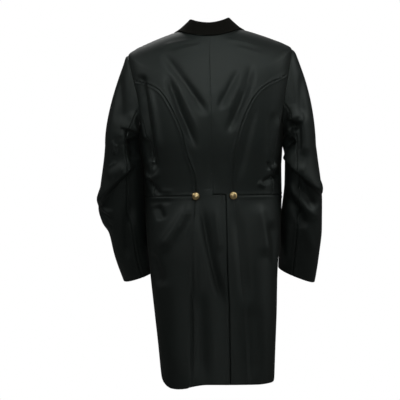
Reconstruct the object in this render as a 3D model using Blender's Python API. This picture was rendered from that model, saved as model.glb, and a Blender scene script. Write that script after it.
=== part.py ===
"""Shadbelly riding coat of black wool, filled out as if worn, with a velvet collar and brass buttons.

Metres, +Z up. The coat's back faces -Y, its front faces +Y and the wearer's right is +X. The
origin lies between the two neck points, where the wearer's shoulders hold the coat.

Every body panel lies on one form: rings round the torso, from the hem up to the neck seam. A point
on the form has an angle, 0 at the centre back, 90 degrees at the side and 180 at the centre front,
negative on the left, and a level, which is its ring's height at the centre back. Each sleeve
is a form of its own, from the armhole down to the cuff.
"""

import math

import bmesh
import bpy
from mathutils import Vector

CLOTH = 0.002
SEAM_GAP = 0.00034
ON_TOP = CLOTH + 0.0006
SLEEVE_GAP = 0.0005

NECK = -0.012
SHOULDER = -0.130
ARMPIT = -0.280
WAIST = -0.4225
HEM = -0.890
ARMHOLE_MIDDLE = (SHOULDER + ARMPIT) / 2
ARMHOLE_REACH = (SHOULDER - ARMPIT) / 2
ARMHOLE_BACK = {"left": math.radians(30), "right": math.radians(26)}
ARMHOLE_FRONT = math.radians(28)
ARMHOLE_STEPS = 12
SHOULDER_ROWS = 6
PRINCESS_STEP = 8
TAIL_ROWS = 12
SIDE_SEAM_STEP = 5
LEAN = 0.040

RING_COLUMNS = (
    "level", "side_z", "front_z", "half_width", "back_y", "side_y", "front_y", "square", "sway",
)
RINGS = (
    (-0.012, -0.0030, -0.055, 0.0580, -0.058, 0.000, 0.055, 0.000, -0.0010),
    (-0.045, -0.0205, -0.100, 0.1120, -0.079, 0.000, 0.083, 0.020, -0.0020),
    (-0.085, -0.0390, -0.138, 0.1600, -0.098, 0.000, 0.101, 0.030, -0.0020),
    (-0.110, -0.0500, -0.160, 0.1850, -0.106, 0.000, 0.108, 0.035, -0.0010),
    (-0.130, -0.0640, -0.176, 0.2040, -0.112, 0.000, 0.113, 0.040, 0.0000),
    (-0.150, -0.0860, -0.191, 0.2060, -0.116, 0.000, 0.117, 0.045, 0.0000),
    (-0.175, -0.1230, -0.210, 0.2040, -0.1185, 0.000, 0.122, 0.050, 0.0005),
    (-0.205, -0.1680, -0.233, 0.1985, -0.119, 0.000, 0.126, 0.050, 0.0010),
    (-0.240, -0.2220, -0.260, 0.1900, -0.117, 0.000, 0.128, 0.050, 0.0015),
    (-0.280, -0.2800, -0.288, 0.1810, -0.112, 0.000, 0.125, 0.050, 0.0020),
    (-0.315, -0.3150, -0.319, 0.1755, -0.105, 0.000, 0.1195, 0.045, 0.0030),
    (-0.350, -0.3500, -0.350, 0.1710, -0.097, 0.000, 0.1115, 0.040, 0.0040),
    (-0.4225, -0.4225, -0.4225, 0.1690, -0.087, 0.000, 0.098, 0.030, 0.0062),
    (-0.500, -0.500, -0.500, 0.1670, -0.101, -0.004, 0.096, 0.030, 0.0070),
    (-0.600, -0.600, -0.600, 0.1590, -0.117, -0.018, 0.094, 0.040, 0.0085),
    (-0.720, -0.720, -0.720, 0.1510, -0.124, -0.040, 0.090, 0.040, 0.0140),
    (-0.800, -0.800, -0.800, 0.1450, -0.126, -0.052, 0.090, 0.040, 0.0170),
    (-0.905, -0.905, -0.905, 0.1385, -0.128, -0.062, 0.090, 0.040, 0.0200),
)

# The back's curved seams, as angles at each level, and how far their tops arch up
PRINCESS_COLUMNS = ("level", "left", "right")
PRINCESS_SEAMS = (
    (-0.1685, 54.0, 55.0), (-0.1697, 43.5, 45.0), (-0.1715, 38.5, 39.5), (-0.1745, 34.5, 35.5),
    (-0.180, 31.3, 31.8),
    (-0.192, 27.8, 27.4), (-0.225, 21.8, 22.6), (-0.264, 17.8, 19.2), (-0.323, 15.4, 16.4),
    (-0.374, 13.2, 15.2),
)
SEAM_ROWS = (0.0115, 0.0070, 0.0040, 0.0022, 0.0010)
PRINCESS_ARCH = {"left": 0.0090, "right": 0.0045}
ARCH_BETWEEN = (8.0, 66.0)
ARCH_HEIGHT = 0.035

# Seam lines below the waist: distances from the ring's middle, outwards
PLEAT_COLUMNS = ("level", "left", "right")
PLEATS = (
    (-0.4225, 0.0415, 0.0512),
    (-0.520, 0.0465, 0.0615),
    (-0.700, 0.0540, 0.0690),
    (-0.890, 0.0600, 0.0720),
)
PLEAT_STEP_OUT = 0.012
SIDE_SEAM_COLUMNS = ("level", "degrees")
SIDE_SEAM = ((-0.250, 59.5), (-0.315, 58.0), (-0.4225, 57.0))
VENT_RAMP = 0.012
BACK_SHARES = {
    "left": (0.0, 0.16, 0.32, 0.48, 0.62, 0.75, 0.88, 1.0),
    "right": (0.0, 0.16, 0.32, 0.48, 0.66, 0.77, 0.89, 1.0),
}
LAP_COLUMNS = 4
PLEAT_COLUMN = 4
TAIL_EDGE_COLUMNS = ("level", "left", "right")
TAIL_EDGE = (
    (-0.4225, 124.0, 124.0), (-0.460, 119.0, 119.0), (-0.520, 108.0, 108.0),
    (-0.600, 98.0, 98.0), (-0.720, 91.0, 92.0), (-0.830, 87.0, 90.0), (-0.868, 81.0, 88.0),
    (-0.880, 73.0, 84.0), (-0.891, 67.0, 77.0), (-0.905, 60.0, 68.0),
)
HEM_COLUMNS = ("across", "height")
HEM_LINE = (
    (-0.1125, -0.8805), (-0.1075, -0.8915), (-0.1000, -0.8970), (-0.0825, -0.8992),
    (-0.060, -0.8975), (-0.050, -0.8945),
    (-0.0075, -0.8890), (0.055, -0.8900), (0.1175, -0.8905), (0.150, -0.8870), (0.1563, -0.8835),
    (0.158, -0.8700),
)
FRONT_EDGE_COLUMNS = ("level", "from_middle")
FRONT_EDGE = (
    (-0.012, 0.0535), (-0.030, 0.0465), (-0.045, 0.0425), (-0.085, 0.0360), (-0.130, 0.0285),
    (-0.205, 0.0155),
    (-0.250, 0.0068), (-0.265, 0.0052), (-0.360, 0.0042), (-0.4225, 0.0100), (-0.475, 0.0260),
)
FRONT_COLUMNS_BEHIND = 3
FRONT_COLUMNS_AHEAD = 7
STRAP_END = 3 / FRONT_COLUMNS_AHEAD
POINT_COLUMNS = ("share", "drop")
FRONT_POINT = ((STRAP_END, 0.004), (0.60, 0.020), (0.82, 0.047), (0.92, 0.050), (1.0, 0.034))

BREAK = -0.258
LAPEL_COLUMNS = ("level", "from_middle")
LAPEL_EDGE = (
    (-0.258, 0.0180), (-0.235, 0.0440), (-0.200, 0.0760), (-0.165, 0.1000), (-0.130, 0.1150),
    (-0.100, 0.1200),
)
LAPEL_CORNER = -0.100
GORGE_GAP = 0.0004

COLLAR_COLUMNS = ("step", "neck_degrees", "neck_level", "stand", "fall_degrees", "fall_level")
COLLAR = (
    (0, 0.0, -0.012, 0.0225, 0.0, -0.0245),
    (1, 40.0, -0.012, 0.0240, 38.0, -0.0235),
    (2, 70.0, -0.012, 0.0255, 68.0, -0.0230),
    (3, 90.0, -0.012, 0.0240, 87.0, -0.0255),
    (4, 102.0, -0.012, 0.0205, 98.0, -0.0300),
    (5, 112.7, -0.012, 0.0160, 108.0, -0.0385),
    (6, 200.0, -0.040, 0.0060, 140.0, -0.0660),
)
COLLAR_STEPS_BACK = 15
COLLAR_STEPS_FRONT = 6
COLLAR_CLEAR = 0.0012
COLLAR_RISE = 0.0011
COLLAR_LIFT = CLOTH + 0.0012
COLLAR_FOLD = (COLLAR_CLEAR + CLOTH + COLLAR_LIFT) / 2
COLLAR_LEAN = 0.45

SLEEVE_COLUMNS = ("height", "outer", "inner", "middle_y", "half_depth")
SLEEVES = {
    "left": (
        (-0.295, 0.2625, 0.1810, 0.003, 0.060),
        (-0.340, 0.2670, 0.1700, 0.010, 0.060),
        (-0.390, 0.2735, 0.1645, 0.020, 0.058),
        (-0.4475, 0.2800, 0.1620, 0.028, 0.055),
        (-0.470, 0.2735, 0.1600, 0.030, 0.053),
        (-0.500, 0.2560, 0.1570, 0.034, 0.050),
        (-0.560, 0.2410, 0.1500, 0.046, 0.043),
        (-0.628, 0.2170, 0.1360, 0.064, 0.038),
        (-0.680, 0.1980, 0.1220, 0.078, 0.037),
    ),
    "right": (
        (-0.295, 0.2650, 0.1870, 0.002, 0.060),
        (-0.340, 0.2700, 0.1880, 0.006, 0.059),
        (-0.390, 0.2760, 0.1870, 0.012, 0.056),
        (-0.435, 0.2780, 0.1830, 0.018, 0.053),
        (-0.500, 0.2775, 0.1760, 0.028, 0.048),
        (-0.560, 0.2715, 0.1720, 0.041, 0.043),
        (-0.620, 0.2620, 0.1690, 0.055, 0.039),
        (-0.680, 0.2500, 0.1640, 0.068, 0.037),
    ),
}
CUFF_COLUMNS = ("height", "tilt", "head_push")
CUFFS = {"left": (-0.620, 0.05, 0.50), "right": (-0.618, 0.26, 1.00)}
HEAD_LIFT = 0.0035
HEAD_AT = 0.05
CAP_SHARES = (0.0, 0.04, 0.10, 0.20, 0.34, 0.50, 0.67, 0.84, 1.0)
SLEEVE_SQUARE = 0.03
SLEEVE_ROWS = 14
SLEEVE_RADIUS = 0.040
HIND_SEAM = math.radians(102)
FORE_SEAM = math.radians(245)
TOP_SLEEVE = ((FORE_SEAM - math.tau, 0), (0.0, 7), (HIND_SEAM, 6))
UNDER_SLEEVE = ((HIND_SEAM, 0), (FORE_SEAM, 8))
SIGNS = {"left": -1, "right": 1}

FOLD_COLUMNS = ("piece", "x0", "z0", "x1", "z1", "width", "depth")
FOLDS = (
    ("body", -0.112, -0.060, -0.012, -0.215, 0.020, -0.0045),
    ("body", 0.115, -0.075, 0.020, -0.215, 0.020, -0.0040),
    ("body", -0.158, -0.170, -0.146, -0.345, 0.013, -0.0070),
    ("body", -0.152, -0.380, -0.136, -0.372, 0.012, 0.0050),
    ("body", 0.150, -0.335, 0.134, -0.385, 0.013, -0.0050),
    ("body", -0.123, -0.450, -0.122, -0.485, 0.012, -0.0050),
    ("body", -0.080, -0.440, -0.132, -0.560, 0.020, 0.0050),
    ("body", -0.018, -0.470, 0.036, -0.690, 0.022, -0.0055),
    ("body", 0.092, -0.450, 0.112, -0.640, 0.022, -0.0050),
    ("body", -0.128, -0.620, -0.118, -0.800, 0.022, -0.0035),
    ("left", -0.175, -0.355, -0.262, -0.425, 0.016, -0.0100),
    ("left", -0.215, -0.350, -0.240, -0.345, 0.018, 0.0050),
    ("left", -0.270, -0.458, -0.225, -0.452, 0.014, 0.0040),
    ("right", 0.196, -0.350, 0.258, -0.412, 0.014, -0.0100),
    ("right", 0.226, -0.345, 0.240, -0.335, 0.016, 0.0040),
    ("right", 0.216, -0.410, 0.268, -0.475, 0.013, 0.0050),
    ("right", 0.214, -0.475, 0.242, -0.560, 0.014, -0.0060),
)

BUTTON_RADIUS = 0.0104
BUTTON_SEGMENTS = 20
BUTTON_PROFILE = (
    (0.0, 0.0003), (0.0030, 0.0003), (0.0032, 0.0020), (0.0094, 0.0022), (BUTTON_RADIUS, 0.0029),
    (0.0098, 0.0040), (0.0086, 0.0041), (0.0060, 0.0054), (0.0, 0.0062),
)
BUTTON_COLUMNS = ("name", "across", "level", "front", "sunk")
BUTTONS = (
    ("button_waist_left", -0.0415, -0.4225, False, -0.00025),
    ("button_waist_right", 0.0512, -0.4225, False, -0.00055),
    ("button_front_left_top", -0.0760, -0.284, True, 0.00075),
    ("button_front_left_middle", -0.0660, -0.340, True, 0.00040),
    ("button_front_left_low", -0.0560, -0.396, True, 0.00018),
    ("button_front_right_top", 0.0760, -0.284, True, 0.00075),
    ("button_front_right_middle", 0.0660, -0.340, True, 0.00040),
    ("button_front_right_low", 0.0560, -0.396, True, 0.00018),
)


class Curve:
    """A smooth line through pairs of numbers that never overshoots them."""

    def __init__(self, pairs):
        pairs = sorted(pairs)
        self.ats = [at for at, _ in pairs]
        self.values = [value for _, value in pairs]
        steps = [
            (v1 - v0) / (a1 - a0)
            for a0, a1, v0, v1 in zip(self.ats, self.ats[1:], self.values, self.values[1:])
        ]
        middle = [
            2 * before * after / (before + after) if before * after > 0 else 0.0
            for before, after in zip(steps, steps[1:])
        ]
        self.slopes = [steps[0], *middle, steps[-1]]

    def __call__(self, at):
        at = min(max(at, self.ats[0]), self.ats[-1])
        i = max(j for j, start in enumerate(self.ats[:-1]) if start <= at)
        width = self.ats[i + 1] - self.ats[i]
        t = (at - self.ats[i]) / width
        return (
            (1 + 2 * t) * (1 - t) ** 2 * self.values[i]
            + t * (1 - t) ** 2 * width * self.slopes[i]
            + t * t * (3 - 2 * t) * self.values[i + 1]
            - t * t * (1 - t) * width * self.slopes[i + 1]
        )


def curves_of(columns, rows):
    """One curve for each column after the first, by name."""
    return {
        name: Curve([(row[0], row[i]) for row in rows])
        for i, name in enumerate(columns)
        if i > 0
    }


RING = curves_of(RING_COLUMNS, RINGS)
PLEAT = curves_of(PLEAT_COLUMNS, PLEATS)
TAIL = curves_of(TAIL_EDGE_COLUMNS, TAIL_EDGE)
HEM_HEIGHT = curves_of(HEM_COLUMNS, HEM_LINE)["height"]
OPENING = curves_of(FRONT_EDGE_COLUMNS, FRONT_EDGE)["from_middle"]
POINT_DROP = curves_of(POINT_COLUMNS, FRONT_POINT)["drop"]
LAPEL = curves_of(LAPEL_COLUMNS, LAPEL_EDGE)["from_middle"]
COLLAR_SHAPE = curves_of(COLLAR_COLUMNS, COLLAR)
ARM = {side: curves_of(SLEEVE_COLUMNS, rows) for side, rows in SLEEVES.items()}
CUFF = {side: dict(zip(CUFF_COLUMNS, row)) for side, row in CUFFS.items()}


def mix(start, end, share):
    """Each number of start moved towards its partner in end."""
    return tuple(a + (b - a) * share for a, b in zip(start, end))


def spaced(start, end, steps):
    """Evenly spaced numbers from start to end."""
    return [start + (end - start) * i / steps for i in range(steps + 1)]


def smooth_step(value, low, high):
    """0 before low, 1 after high and a soft rise between them."""
    t = min(max((value - low) / (high - low), 0.0), 1.0)
    return t * t * (3 - 2 * t)


def body_base(angle, level):
    """The form's point before folds."""
    ring = {name: curve(level) for name, curve in RING.items()}
    square = ring["square"]
    across = (1 + square) * math.sin(angle) + square * math.sin(3 * angle)
    along = (1 + square) * math.cos(angle) - square * math.cos(3 * angle)
    if along >= 0:
        end_y, end_z = ring["back_y"], level
    else:
        end_y, end_z = ring["front_y"], ring["front_z"]
    x = ring["sway"] + ring["half_width"] * across
    y = ring["side_y"] + (end_y - ring["side_y"]) * abs(along)
    z = ring["side_z"] + (end_z - ring["side_z"]) * along * along
    lean = LEAN * (1 - 0.6 * smooth_step(-level, -SHOULDER, -WAIST))
    return Vector((x, y, z + lean * x))


def normal_of(surface, a, b, step_a, step_b):
    """The unit normal of surface(a, b), by differences."""
    along_a = surface(a + step_a, b) - surface(a - step_a, b)
    along_b = surface(a, b + step_b) - surface(a, b - step_b)
    return along_a.cross(along_b).normalized()


def fold_depth(piece, point):
    """How far the folds of a piece push its cloth out at a point, seen from behind."""
    depth = 0.0
    for row in FOLDS:
        fold = dict(zip(FOLD_COLUMNS, row))
        if fold["piece"] != piece:
            continue
        start = Vector((fold["x0"], fold["z0"]))
        line = Vector((fold["x1"], fold["z1"])) - start
        place = Vector((point.x, point.z)) - start
        share = min(max(place.dot(line) / line.length_squared, 0.0), 1.0)
        away = (place - line * share).length / fold["width"]
        depth += fold["depth"] * math.exp(-away * away)
    return depth


def body_frame(angle, level):
    """The form's folded point and its outward normal."""
    base = body_base(angle, level)
    normal = normal_of(body_base, angle, level, 0.01, 0.002)
    behind = smooth_step(-normal.y, 0.15, 0.55)
    if behind > 0:
        base = base + normal * (behind * fold_depth("body", base))
    return base, normal


def angle_at(distance, level, front=False):
    """The angle where a ring is this far from its own middle, on its back or its front."""
    square = RING["square"](level)
    share = min(abs(distance) / RING["half_width"](level), 1.0)
    low, high = 0.0, math.pi / 2
    for _ in range(40):
        middle = (low + high) / 2
        if (1 + square) * math.sin(middle) + square * math.sin(3 * middle) < share:
            low = middle
        else:
            high = middle
    angle = math.pi - low if front else low
    return math.copysign(angle, distance)


def metres_per_radian(angle, level):
    """How fast a point moves along its ring."""
    return (body_base(angle + 0.01, level) - body_base(angle - 0.01, level)).length / 0.02


def armhole_levels():
    """The ring levels from the underarm up to the shoulder tip, evenly round the armhole."""
    return [
        ARMHOLE_MIDDLE - ARMHOLE_REACH * math.cos(math.pi * i / ARMHOLE_STEPS)
        for i in range(ARMHOLE_STEPS + 1)
    ]


def armhole_angle(side, level, front):
    """Where the armhole's back or front edge crosses a ring."""
    share = min(max((level - ARMHOLE_MIDDLE) / ARMHOLE_REACH, -1.0), 1.0)
    bulge = math.sqrt(1 - share * share)
    if front:
        return math.pi / 2 + ARMHOLE_FRONT * bulge
    return math.pi / 2 - ARMHOLE_BACK[side] * bulge


ARMHOLE_LEVELS = armhole_levels()
SHOULDER_LEVELS = spaced(SHOULDER, NECK, SHOULDER_ROWS)[1:]
PRINCESS_TOP = ARMHOLE_LEVELS[PRINCESS_STEP]
BACK_LEVELS = [*ARMHOLE_LEVELS[1:PRINCESS_STEP], *(PRINCESS_TOP - below for below in SEAM_ROWS)]
SIDE_TOP = ARMHOLE_LEVELS[SIDE_SEAM_STEP]
PRINCESS = {
    side: Curve(
        [(row[0], math.radians(row[i])) for row in PRINCESS_SEAMS]
        + [(PRINCESS_TOP, armhole_angle(side, PRINCESS_TOP, False))]
        + [(WAIST, angle_at(PLEAT[side](WAIST), WAIST))]
    )
    for i, side in enumerate(PRINCESS_COLUMNS)
    if i > 0
}
SIDE_SEAM_ANGLE = {
    side: Curve(
        [(level, math.radians(degrees)) for level, degrees in SIDE_SEAM]
        + [(SIDE_TOP, armhole_angle(side, SIDE_TOP, False))]
    )
    for side in ARMHOLE_BACK
}


def back_edge(side, level):
    """The outer edge of the back panel: pleat, princess seam, armhole and shoulder seam."""
    if level <= WAIST:
        return angle_at(PLEAT[side](level), level)
    if level <= PRINCESS_TOP:
        return PRINCESS[side](level)
    if level <= SHOULDER:
        return armhole_angle(side, level, False)
    return math.pi / 2


def side_edge(side, level):
    """The seam between side back and front, and above it the armhole's back edge."""
    if level <= SIDE_TOP:
        return SIDE_SEAM_ANGLE[side](level)
    return armhole_angle(side, level, False)


def arched(angle, level):
    """A level raised where the tops of the curved seams arch up."""
    side = "left" if angle < 0 else "right"
    start, end = ARCH_BETWEEN
    share = min(max((math.degrees(abs(angle)) - start) / (end - start), 0.0), 1.0)
    across = math.sin(math.pi * share) ** 2
    up = math.exp(-(((level - PRINCESS_TOP) / ARCH_HEIGHT) ** 2))
    return level + PRINCESS_ARCH[side] * across * up


def front_edge(level):
    """The roll line and, below the break, the open front edge."""
    return angle_at(OPENING(level), level, front=True)


def plain(edge):
    """An edge as a function of level that gives its angle and level."""
    return lambda level: (edge(level), level)


def inset(edge, towards):
    """An edge moved half a seam gap square to itself; towards is 1 away from the centre back."""

    def moved(level):
        angle = edge(level)
        rate = metres_per_radian(angle, level)
        rise = 0.0004
        slant = rate * (edge(level + rise) - edge(level - rise)) / (2 * rise)
        shift = towards * SEAM_GAP / 2 / math.hypot(1, slant)
        return angle + shift / rate, level - shift * slant

    return moved


def ruled(levels, near, far, shares):
    """A grid of (angle, level) between two edges, row by row."""
    return [[mix(near(level), far(level), share) for share in shares] for level in levels]


def tail_grid(side, near, far, shares, top):
    """A grid of (angle, level) from the waist down to the wavy hem."""
    grid = []
    for t in spaced(0, 1, TAIL_ROWS):
        row = []
        for share in shares:
            foot = SIGNS[side] * mix(near(HEM), far(HEM), share)[0]
            level = top + t * (HEM_HEIGHT(body_base(foot, HEM).x) - top)
            row.append(mix(near(level), far(level), share))
        grid.append(row)
    return grid


def mirrored(grids, side):
    """The same grids on the coat's own side."""
    sign = SIGNS[side]
    return [[[(sign * angle, level) for angle, level in row] for row in grid] for grid in grids]


def make_material(name, colour, roughness, metallic=0.0):
    """A plain Principled material."""
    material = bpy.data.materials.new(name)
    material.use_nodes = True
    shader = material.node_tree.nodes["Principled BSDF"]
    shader.inputs["Base Color"].default_value = (*colour, 1.0)
    shader.inputs["Roughness"].default_value = roughness
    shader.inputs["Metallic"].default_value = metallic
    return material


def make_object(name, mesh, material):
    """Links a mesh to the scene as one named object."""
    mesh.materials.append(material)
    mesh.shade_smooth()
    mesh.set_sharp_from_angle(angle=math.radians(40))
    thing = bpy.data.objects.new(name, mesh)
    bpy.context.scene.collection.objects.link(thing)
    return thing


def cloth_object(name, grids, place, material):
    """Joins grids into one sheet and gives it a wall.

    place(a, b) gives a point on the sheet's outer side and the vector through its wall.
    """
    mesh_data = bmesh.new()
    through = mesh_data.verts.layers.float_vector.new("through")
    corners = {}
    for grid in grids:
        for row in grid:
            for a, b in row:
                key = (round(a, 7), round(b, 7))
                if key not in corners:
                    point, wall = place(a, b)
                    corners[key] = mesh_data.verts.new(point)
                    corners[key][through] = wall
        for low, high in zip(grid, grid[1:]):
            for i in range(len(low) - 1):
                ring = [low[i], low[i + 1], high[i + 1], high[i]]
                keys = [(round(a, 7), round(b, 7)) for a, b in ring]
                unique = list(dict.fromkeys(keys))
                if len(unique) > 2:
                    mesh_data.faces.new([corners[key] for key in unique])
    made = bmesh.ops.extrude_face_region(mesh_data, geom=mesh_data.faces[:], use_keep_orig=True)
    for part in made["geom"]:
        if isinstance(part, bmesh.types.BMVert):
            part.co += part[through]
    bmesh.ops.recalc_face_normals(mesh_data, faces=mesh_data.faces[:])
    if mesh_data.calc_volume(signed=True) < 0:
        bmesh.ops.reverse_faces(mesh_data, faces=mesh_data.faces[:])
    mesh = bpy.data.meshes.new(name)
    mesh_data.to_mesh(mesh)
    mesh_data.free()
    return make_object(name, mesh, material)


def on_body(lift=None):
    """A place function for a panel of the form, lifted by lift(angle, level)."""

    def place(angle, level):
        point, normal = body_frame(angle, arched(angle, level))
        if lift:
            point = point + normal * lift(angle, level)
        return point, -normal * CLOTH

    return place


def make_back(side, material):
    """Centre back with its tail. The left one laps over the right below the waist."""
    near = inset(lambda level: 0.0, 1)
    far = inset(lambda level: back_edge(side, level), -1)
    upper = [*spaced(WAIST, ARMPIT, 6), *BACK_LEVELS, *ARMHOLE_LEVELS[PRINCESS_STEP:]]
    upper += SHOULDER_LEVELS
    shares = BACK_SHARES[side]
    grids = [ruled(upper, near, far, shares), tail_grid(side, near, far, shares, WAIST)]
    lift = None
    if side == "left":
        grids.append(lap_grid(near))
        lift = vent_lift
    return cloth_object(f"back_{side}", mirrored(grids, side), on_body(lift), material)


def lap_grid(near):
    """The lap past the centre back: the right tail's own points up to the vent's edge."""
    right_far = inset(lambda level: back_edge("right", level), -1)
    shares = BACK_SHARES["right"][: LAP_COLUMNS + 1]
    under = tail_grid("right", near, right_far, shares, WAIST)
    left = tail_grid("left", near, near, (0.0,), WAIST)
    return [
        [*first, *((-angle, level) for angle, level in row[1:])]
        for first, row in zip(left, under)
    ]


def vent_lift(angle, level):
    """How far the lapped tail stands off the form near and past the centre back."""
    past = angle * metres_per_radian(0.0, level)
    near = smooth_step(past, -VENT_RAMP, -0.001)
    return ON_TOP * near * smooth_step(-level, -WAIST - 0.02, -WAIST)


def make_side_back(side, material):
    """The panel between princess seam and side seam, above the waist."""
    near = inset(lambda level: back_edge(side, level), 1)
    far = inset(lambda level: side_edge(side, level), -1)
    levels = [*spaced(WAIST + SEAM_GAP / 2, ARMPIT, 6), *BACK_LEVELS]
    grids = [ruled(levels, near, far, spaced(0, 1, 4))]
    return cloth_object(f"side_back_{side}", mirrored(grids, side), on_body(), material)


def make_front(side, material):
    """The forepart, from the side seam round under the armhole to the open front edge."""
    seam = inset(lambda level: side_edge(side, level), 1)
    under = plain(lambda level: math.pi / 2)
    edge = plain(front_edge)
    armhole = plain(lambda level: armhole_angle(side, level, True) + shoulder_gap(level))
    low = spaced(WAIST + SEAM_GAP / 2, ARMPIT, 6)
    behind = [*ARMHOLE_LEVELS[:SIDE_SEAM_STEP], SIDE_TOP - 0.003]
    above = [*ARMHOLE_LEVELS, *SHOULDER_LEVELS]
    back_of_armhole = plain(lambda level: armhole_angle(side, level, False))
    back_shares = spaced(0, 1, FRONT_COLUMNS_BEHIND)
    front_shares = spaced(0, 1, FRONT_COLUMNS_AHEAD)
    grids = [
        ruled(low, seam, under, back_shares),
        ruled(low, under, edge, front_shares),
        ruled(behind, seam, back_of_armhole, back_shares),
        ruled(above, armhole, edge, front_shares),
        point_grid(),
    ]
    return cloth_object(f"front_{side}", mirrored(grids, side), on_body(), material)


def shoulder_gap(level):
    """Half a seam gap at the shoulder seam, as an angle."""
    if level < SHOULDER:
        return 0.0
    return SEAM_GAP / 2 / metres_per_radian(math.pi / 2, level)


def point_grid():
    """The pointed bottom of the forepart, below the waist."""
    rows = []
    columns = FRONT_COLUMNS_AHEAD - round(STRAP_END * FRONT_COLUMNS_AHEAD)
    top = WAIST + SEAM_GAP / 2
    for t in spaced(0, 1, 3):
        row = []
        for share in spaced(STRAP_END, 1, columns):
            level = top - t * POINT_DROP(share)
            row.append((math.pi / 2 + (front_edge(level) - math.pi / 2) * share, level))
        rows.append(row)
    return rows


def make_skirt(side, material):
    """The side of the tail, from under the pleat round to the cutaway edge."""
    pleat = lambda level: angle_at(PLEAT[side](level), level)
    middle = plain(lambda level: 0.0)
    far = plain(lambda level: math.radians(TAIL[side](level)))
    top = WAIST - SEAM_GAP / 2

    def lift(angle, level):
        past = (abs(angle) - pleat(level)) * metres_per_radian(pleat(level), level)
        return -ON_TOP * (1 - smooth_step(past, 0.0006, PLEAT_STEP_OUT))

    grids = [
        tail_grid(side, middle, plain(pleat), BACK_SHARES[side][PLEAT_COLUMN:], top),
        tail_grid(side, plain(pleat), far, spaced(0, 1, 9), top),
    ]
    return cloth_object(f"skirt_{side}", mirrored(grids, side), on_body(lift), material)


def turned_over(frame, stand, feet):
    """Points and wall vectors across a piece that is turned over an edge.

    It stands up inside the edge, goes round its fold and lies along its feet on the form.
    frame gives the edge's point, the way across it and the way up from it.
    """
    seam, across, upwards = frame
    lift, fold = COLLAR_LIFT, COLLAR_FOLD
    height = max(stand - fold, 0.0004)
    inner = seam - across * (COLLAR_CLEAR + CLOTH) + upwards * COLLAR_RISE
    points = [(inner + upwards * height * share, across) for share in (0.0, 0.5, 1.0)]
    centre = seam + upwards * (COLLAR_RISE + height) + across * (lift - fold)
    for degrees in (45, 90, 135):
        turn = math.radians(degrees)
        direction = upwards * math.sin(turn) - across * math.cos(turn)
        points.append((centre + direction * fold, -direction))
    placed = [body_frame(angle, level) for angle, level in feet]
    reach = min((placed[-1][0] - seam).length, 1.2 * stand + 0.003)
    for foot, normal in placed:
        share = min((foot - seam).length / reach, 1.0)
        turn = smooth_step(share, 0.0, 0.7)
        facing = (across * (1 - turn) + normal * turn).normalized()
        rise = upwards * (COLLAR_RISE + height) * (1 - share) ** 1.4
        points.append((foot + facing * lift + rise, -facing))
    return points


def roll_frame(angle, level):
    """The frame of turned_over on the roll line: across lies on the form, up is its normal."""
    point, normal = body_frame(angle, level)
    sign = math.copysign(1, angle)
    above, below = (
        body_base(sign * front_edge(at), at) for at in (level + 0.0005, level - 0.0005)
    )
    across = normal.cross(above - below).normalized() * sign
    return point, across, normal


def neck_frame(angle):
    """The frame of turned_over on the neck seam: up leans in over the neck."""
    point, _ = body_frame(angle, NECK)
    outwards = Vector((point.x, point.y, 0)).normalized()
    upwards = (Vector((0, 0, 1)) - outwards * COLLAR_LEAN).normalized()
    across = (outwards - upwards * outwards.dot(upwards)).normalized()
    return point, across, upwards


def between(start, end, steps):
    """Evenly spaced places on the form from start to end."""
    return [mix(start, end, share) for share in spaced(0, 1, steps)]


def collar_profile(step):
    """Points and walls across the collar at a step, negative on the left."""
    sign = -1 if step < 0 else 1
    shape = {name: curve(abs(step)) for name, curve in COLLAR_SHAPE.items()}
    level = shape["neck_level"]
    angle = sign * min(math.radians(shape["neck_degrees"]), front_edge(level))
    point, aside, normal = roll_frame(angle, level)
    _, across, upwards = neck_frame(angle)
    turn = smooth_step(abs(step), 4.4, 5.5)
    across = (across * (1 - turn) + aside * turn).normalized()
    upwards = upwards * (1 - turn) + normal * turn
    upwards = (upwards - across * across.dot(upwards)).normalized()
    fall = (sign * math.radians(shape["fall_degrees"]), shape["fall_level"])
    return turned_over((point, across, upwards), shape["stand"], between((angle, level), fall, 4))


def profile_object(name, profiles, material):
    """A cloth solid from a list of profiles, each a list of points and walls."""
    grid = [[(float(i), float(j)) for j in range(len(profiles[0]))] for i in range(len(profiles))]

    def place(i, j):
        point, wall = profiles[round(i)][round(j)]
        return point, wall * CLOTH

    return cloth_object(name, [grid], place, material)


def make_collar(material):
    """Stand, fold and fall in one, round the neck and down to the gorge on either side."""
    half = [*spaced(0, 5, COLLAR_STEPS_BACK), *spaced(5, 6, COLLAR_STEPS_FRONT)[1:]]
    steps = [-step for step in reversed(half)] + half[1:]
    return profile_object("collar", [collar_profile(step) for step in steps], material)


def lapel_feet(down):
    """Places from the roll line to the lapel's edge; down is 0 at the gorge."""
    top = COLLAR[-1]
    roll_level = top[2] - GORGE_GAP + down * (BREAK - top[2])
    edge_level = LAPEL_CORNER + down * (BREAK - LAPEL_CORNER)
    roll = (front_edge(roll_level), roll_level)
    edge = (angle_at(LAPEL(edge_level), edge_level, front=True), edge_level)
    notch = (math.radians(top[4]), top[5] - GORGE_GAP * 1.6)
    bend = (1 - down) ** 3
    middle = mix(mix(roll, edge, 0.6), notch, bend)
    return between(roll, middle, 4) + between(middle, edge, 2)[1:]


def make_lapel(side, material):
    """The lapel, turned back from the roll line and lying on the forepart."""
    profiles = []
    for down in spaced(0, 1, 11):
        feet = [(SIGNS[side] * angle, level) for angle, level in lapel_feet(down)]
        profiles.append(turned_over(roll_frame(*feet[0]), COLLAR[-1][3], feet))
    return profile_object(f"lapel_{side}", profiles, material)


def arm_centre(side, height):
    """The middle of a sleeve at a height."""
    arm = ARM[side]
    middle = (arm["outer"](height) + arm["inner"](height)) / 2
    return Vector((SIGNS[side] * middle, arm["middle_y"](height), height))


def arm_axis(side, height):
    """The way a sleeve runs, downwards."""
    return (arm_centre(side, height - 0.02) - arm_centre(side, height + 0.02)).normalized()


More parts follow.
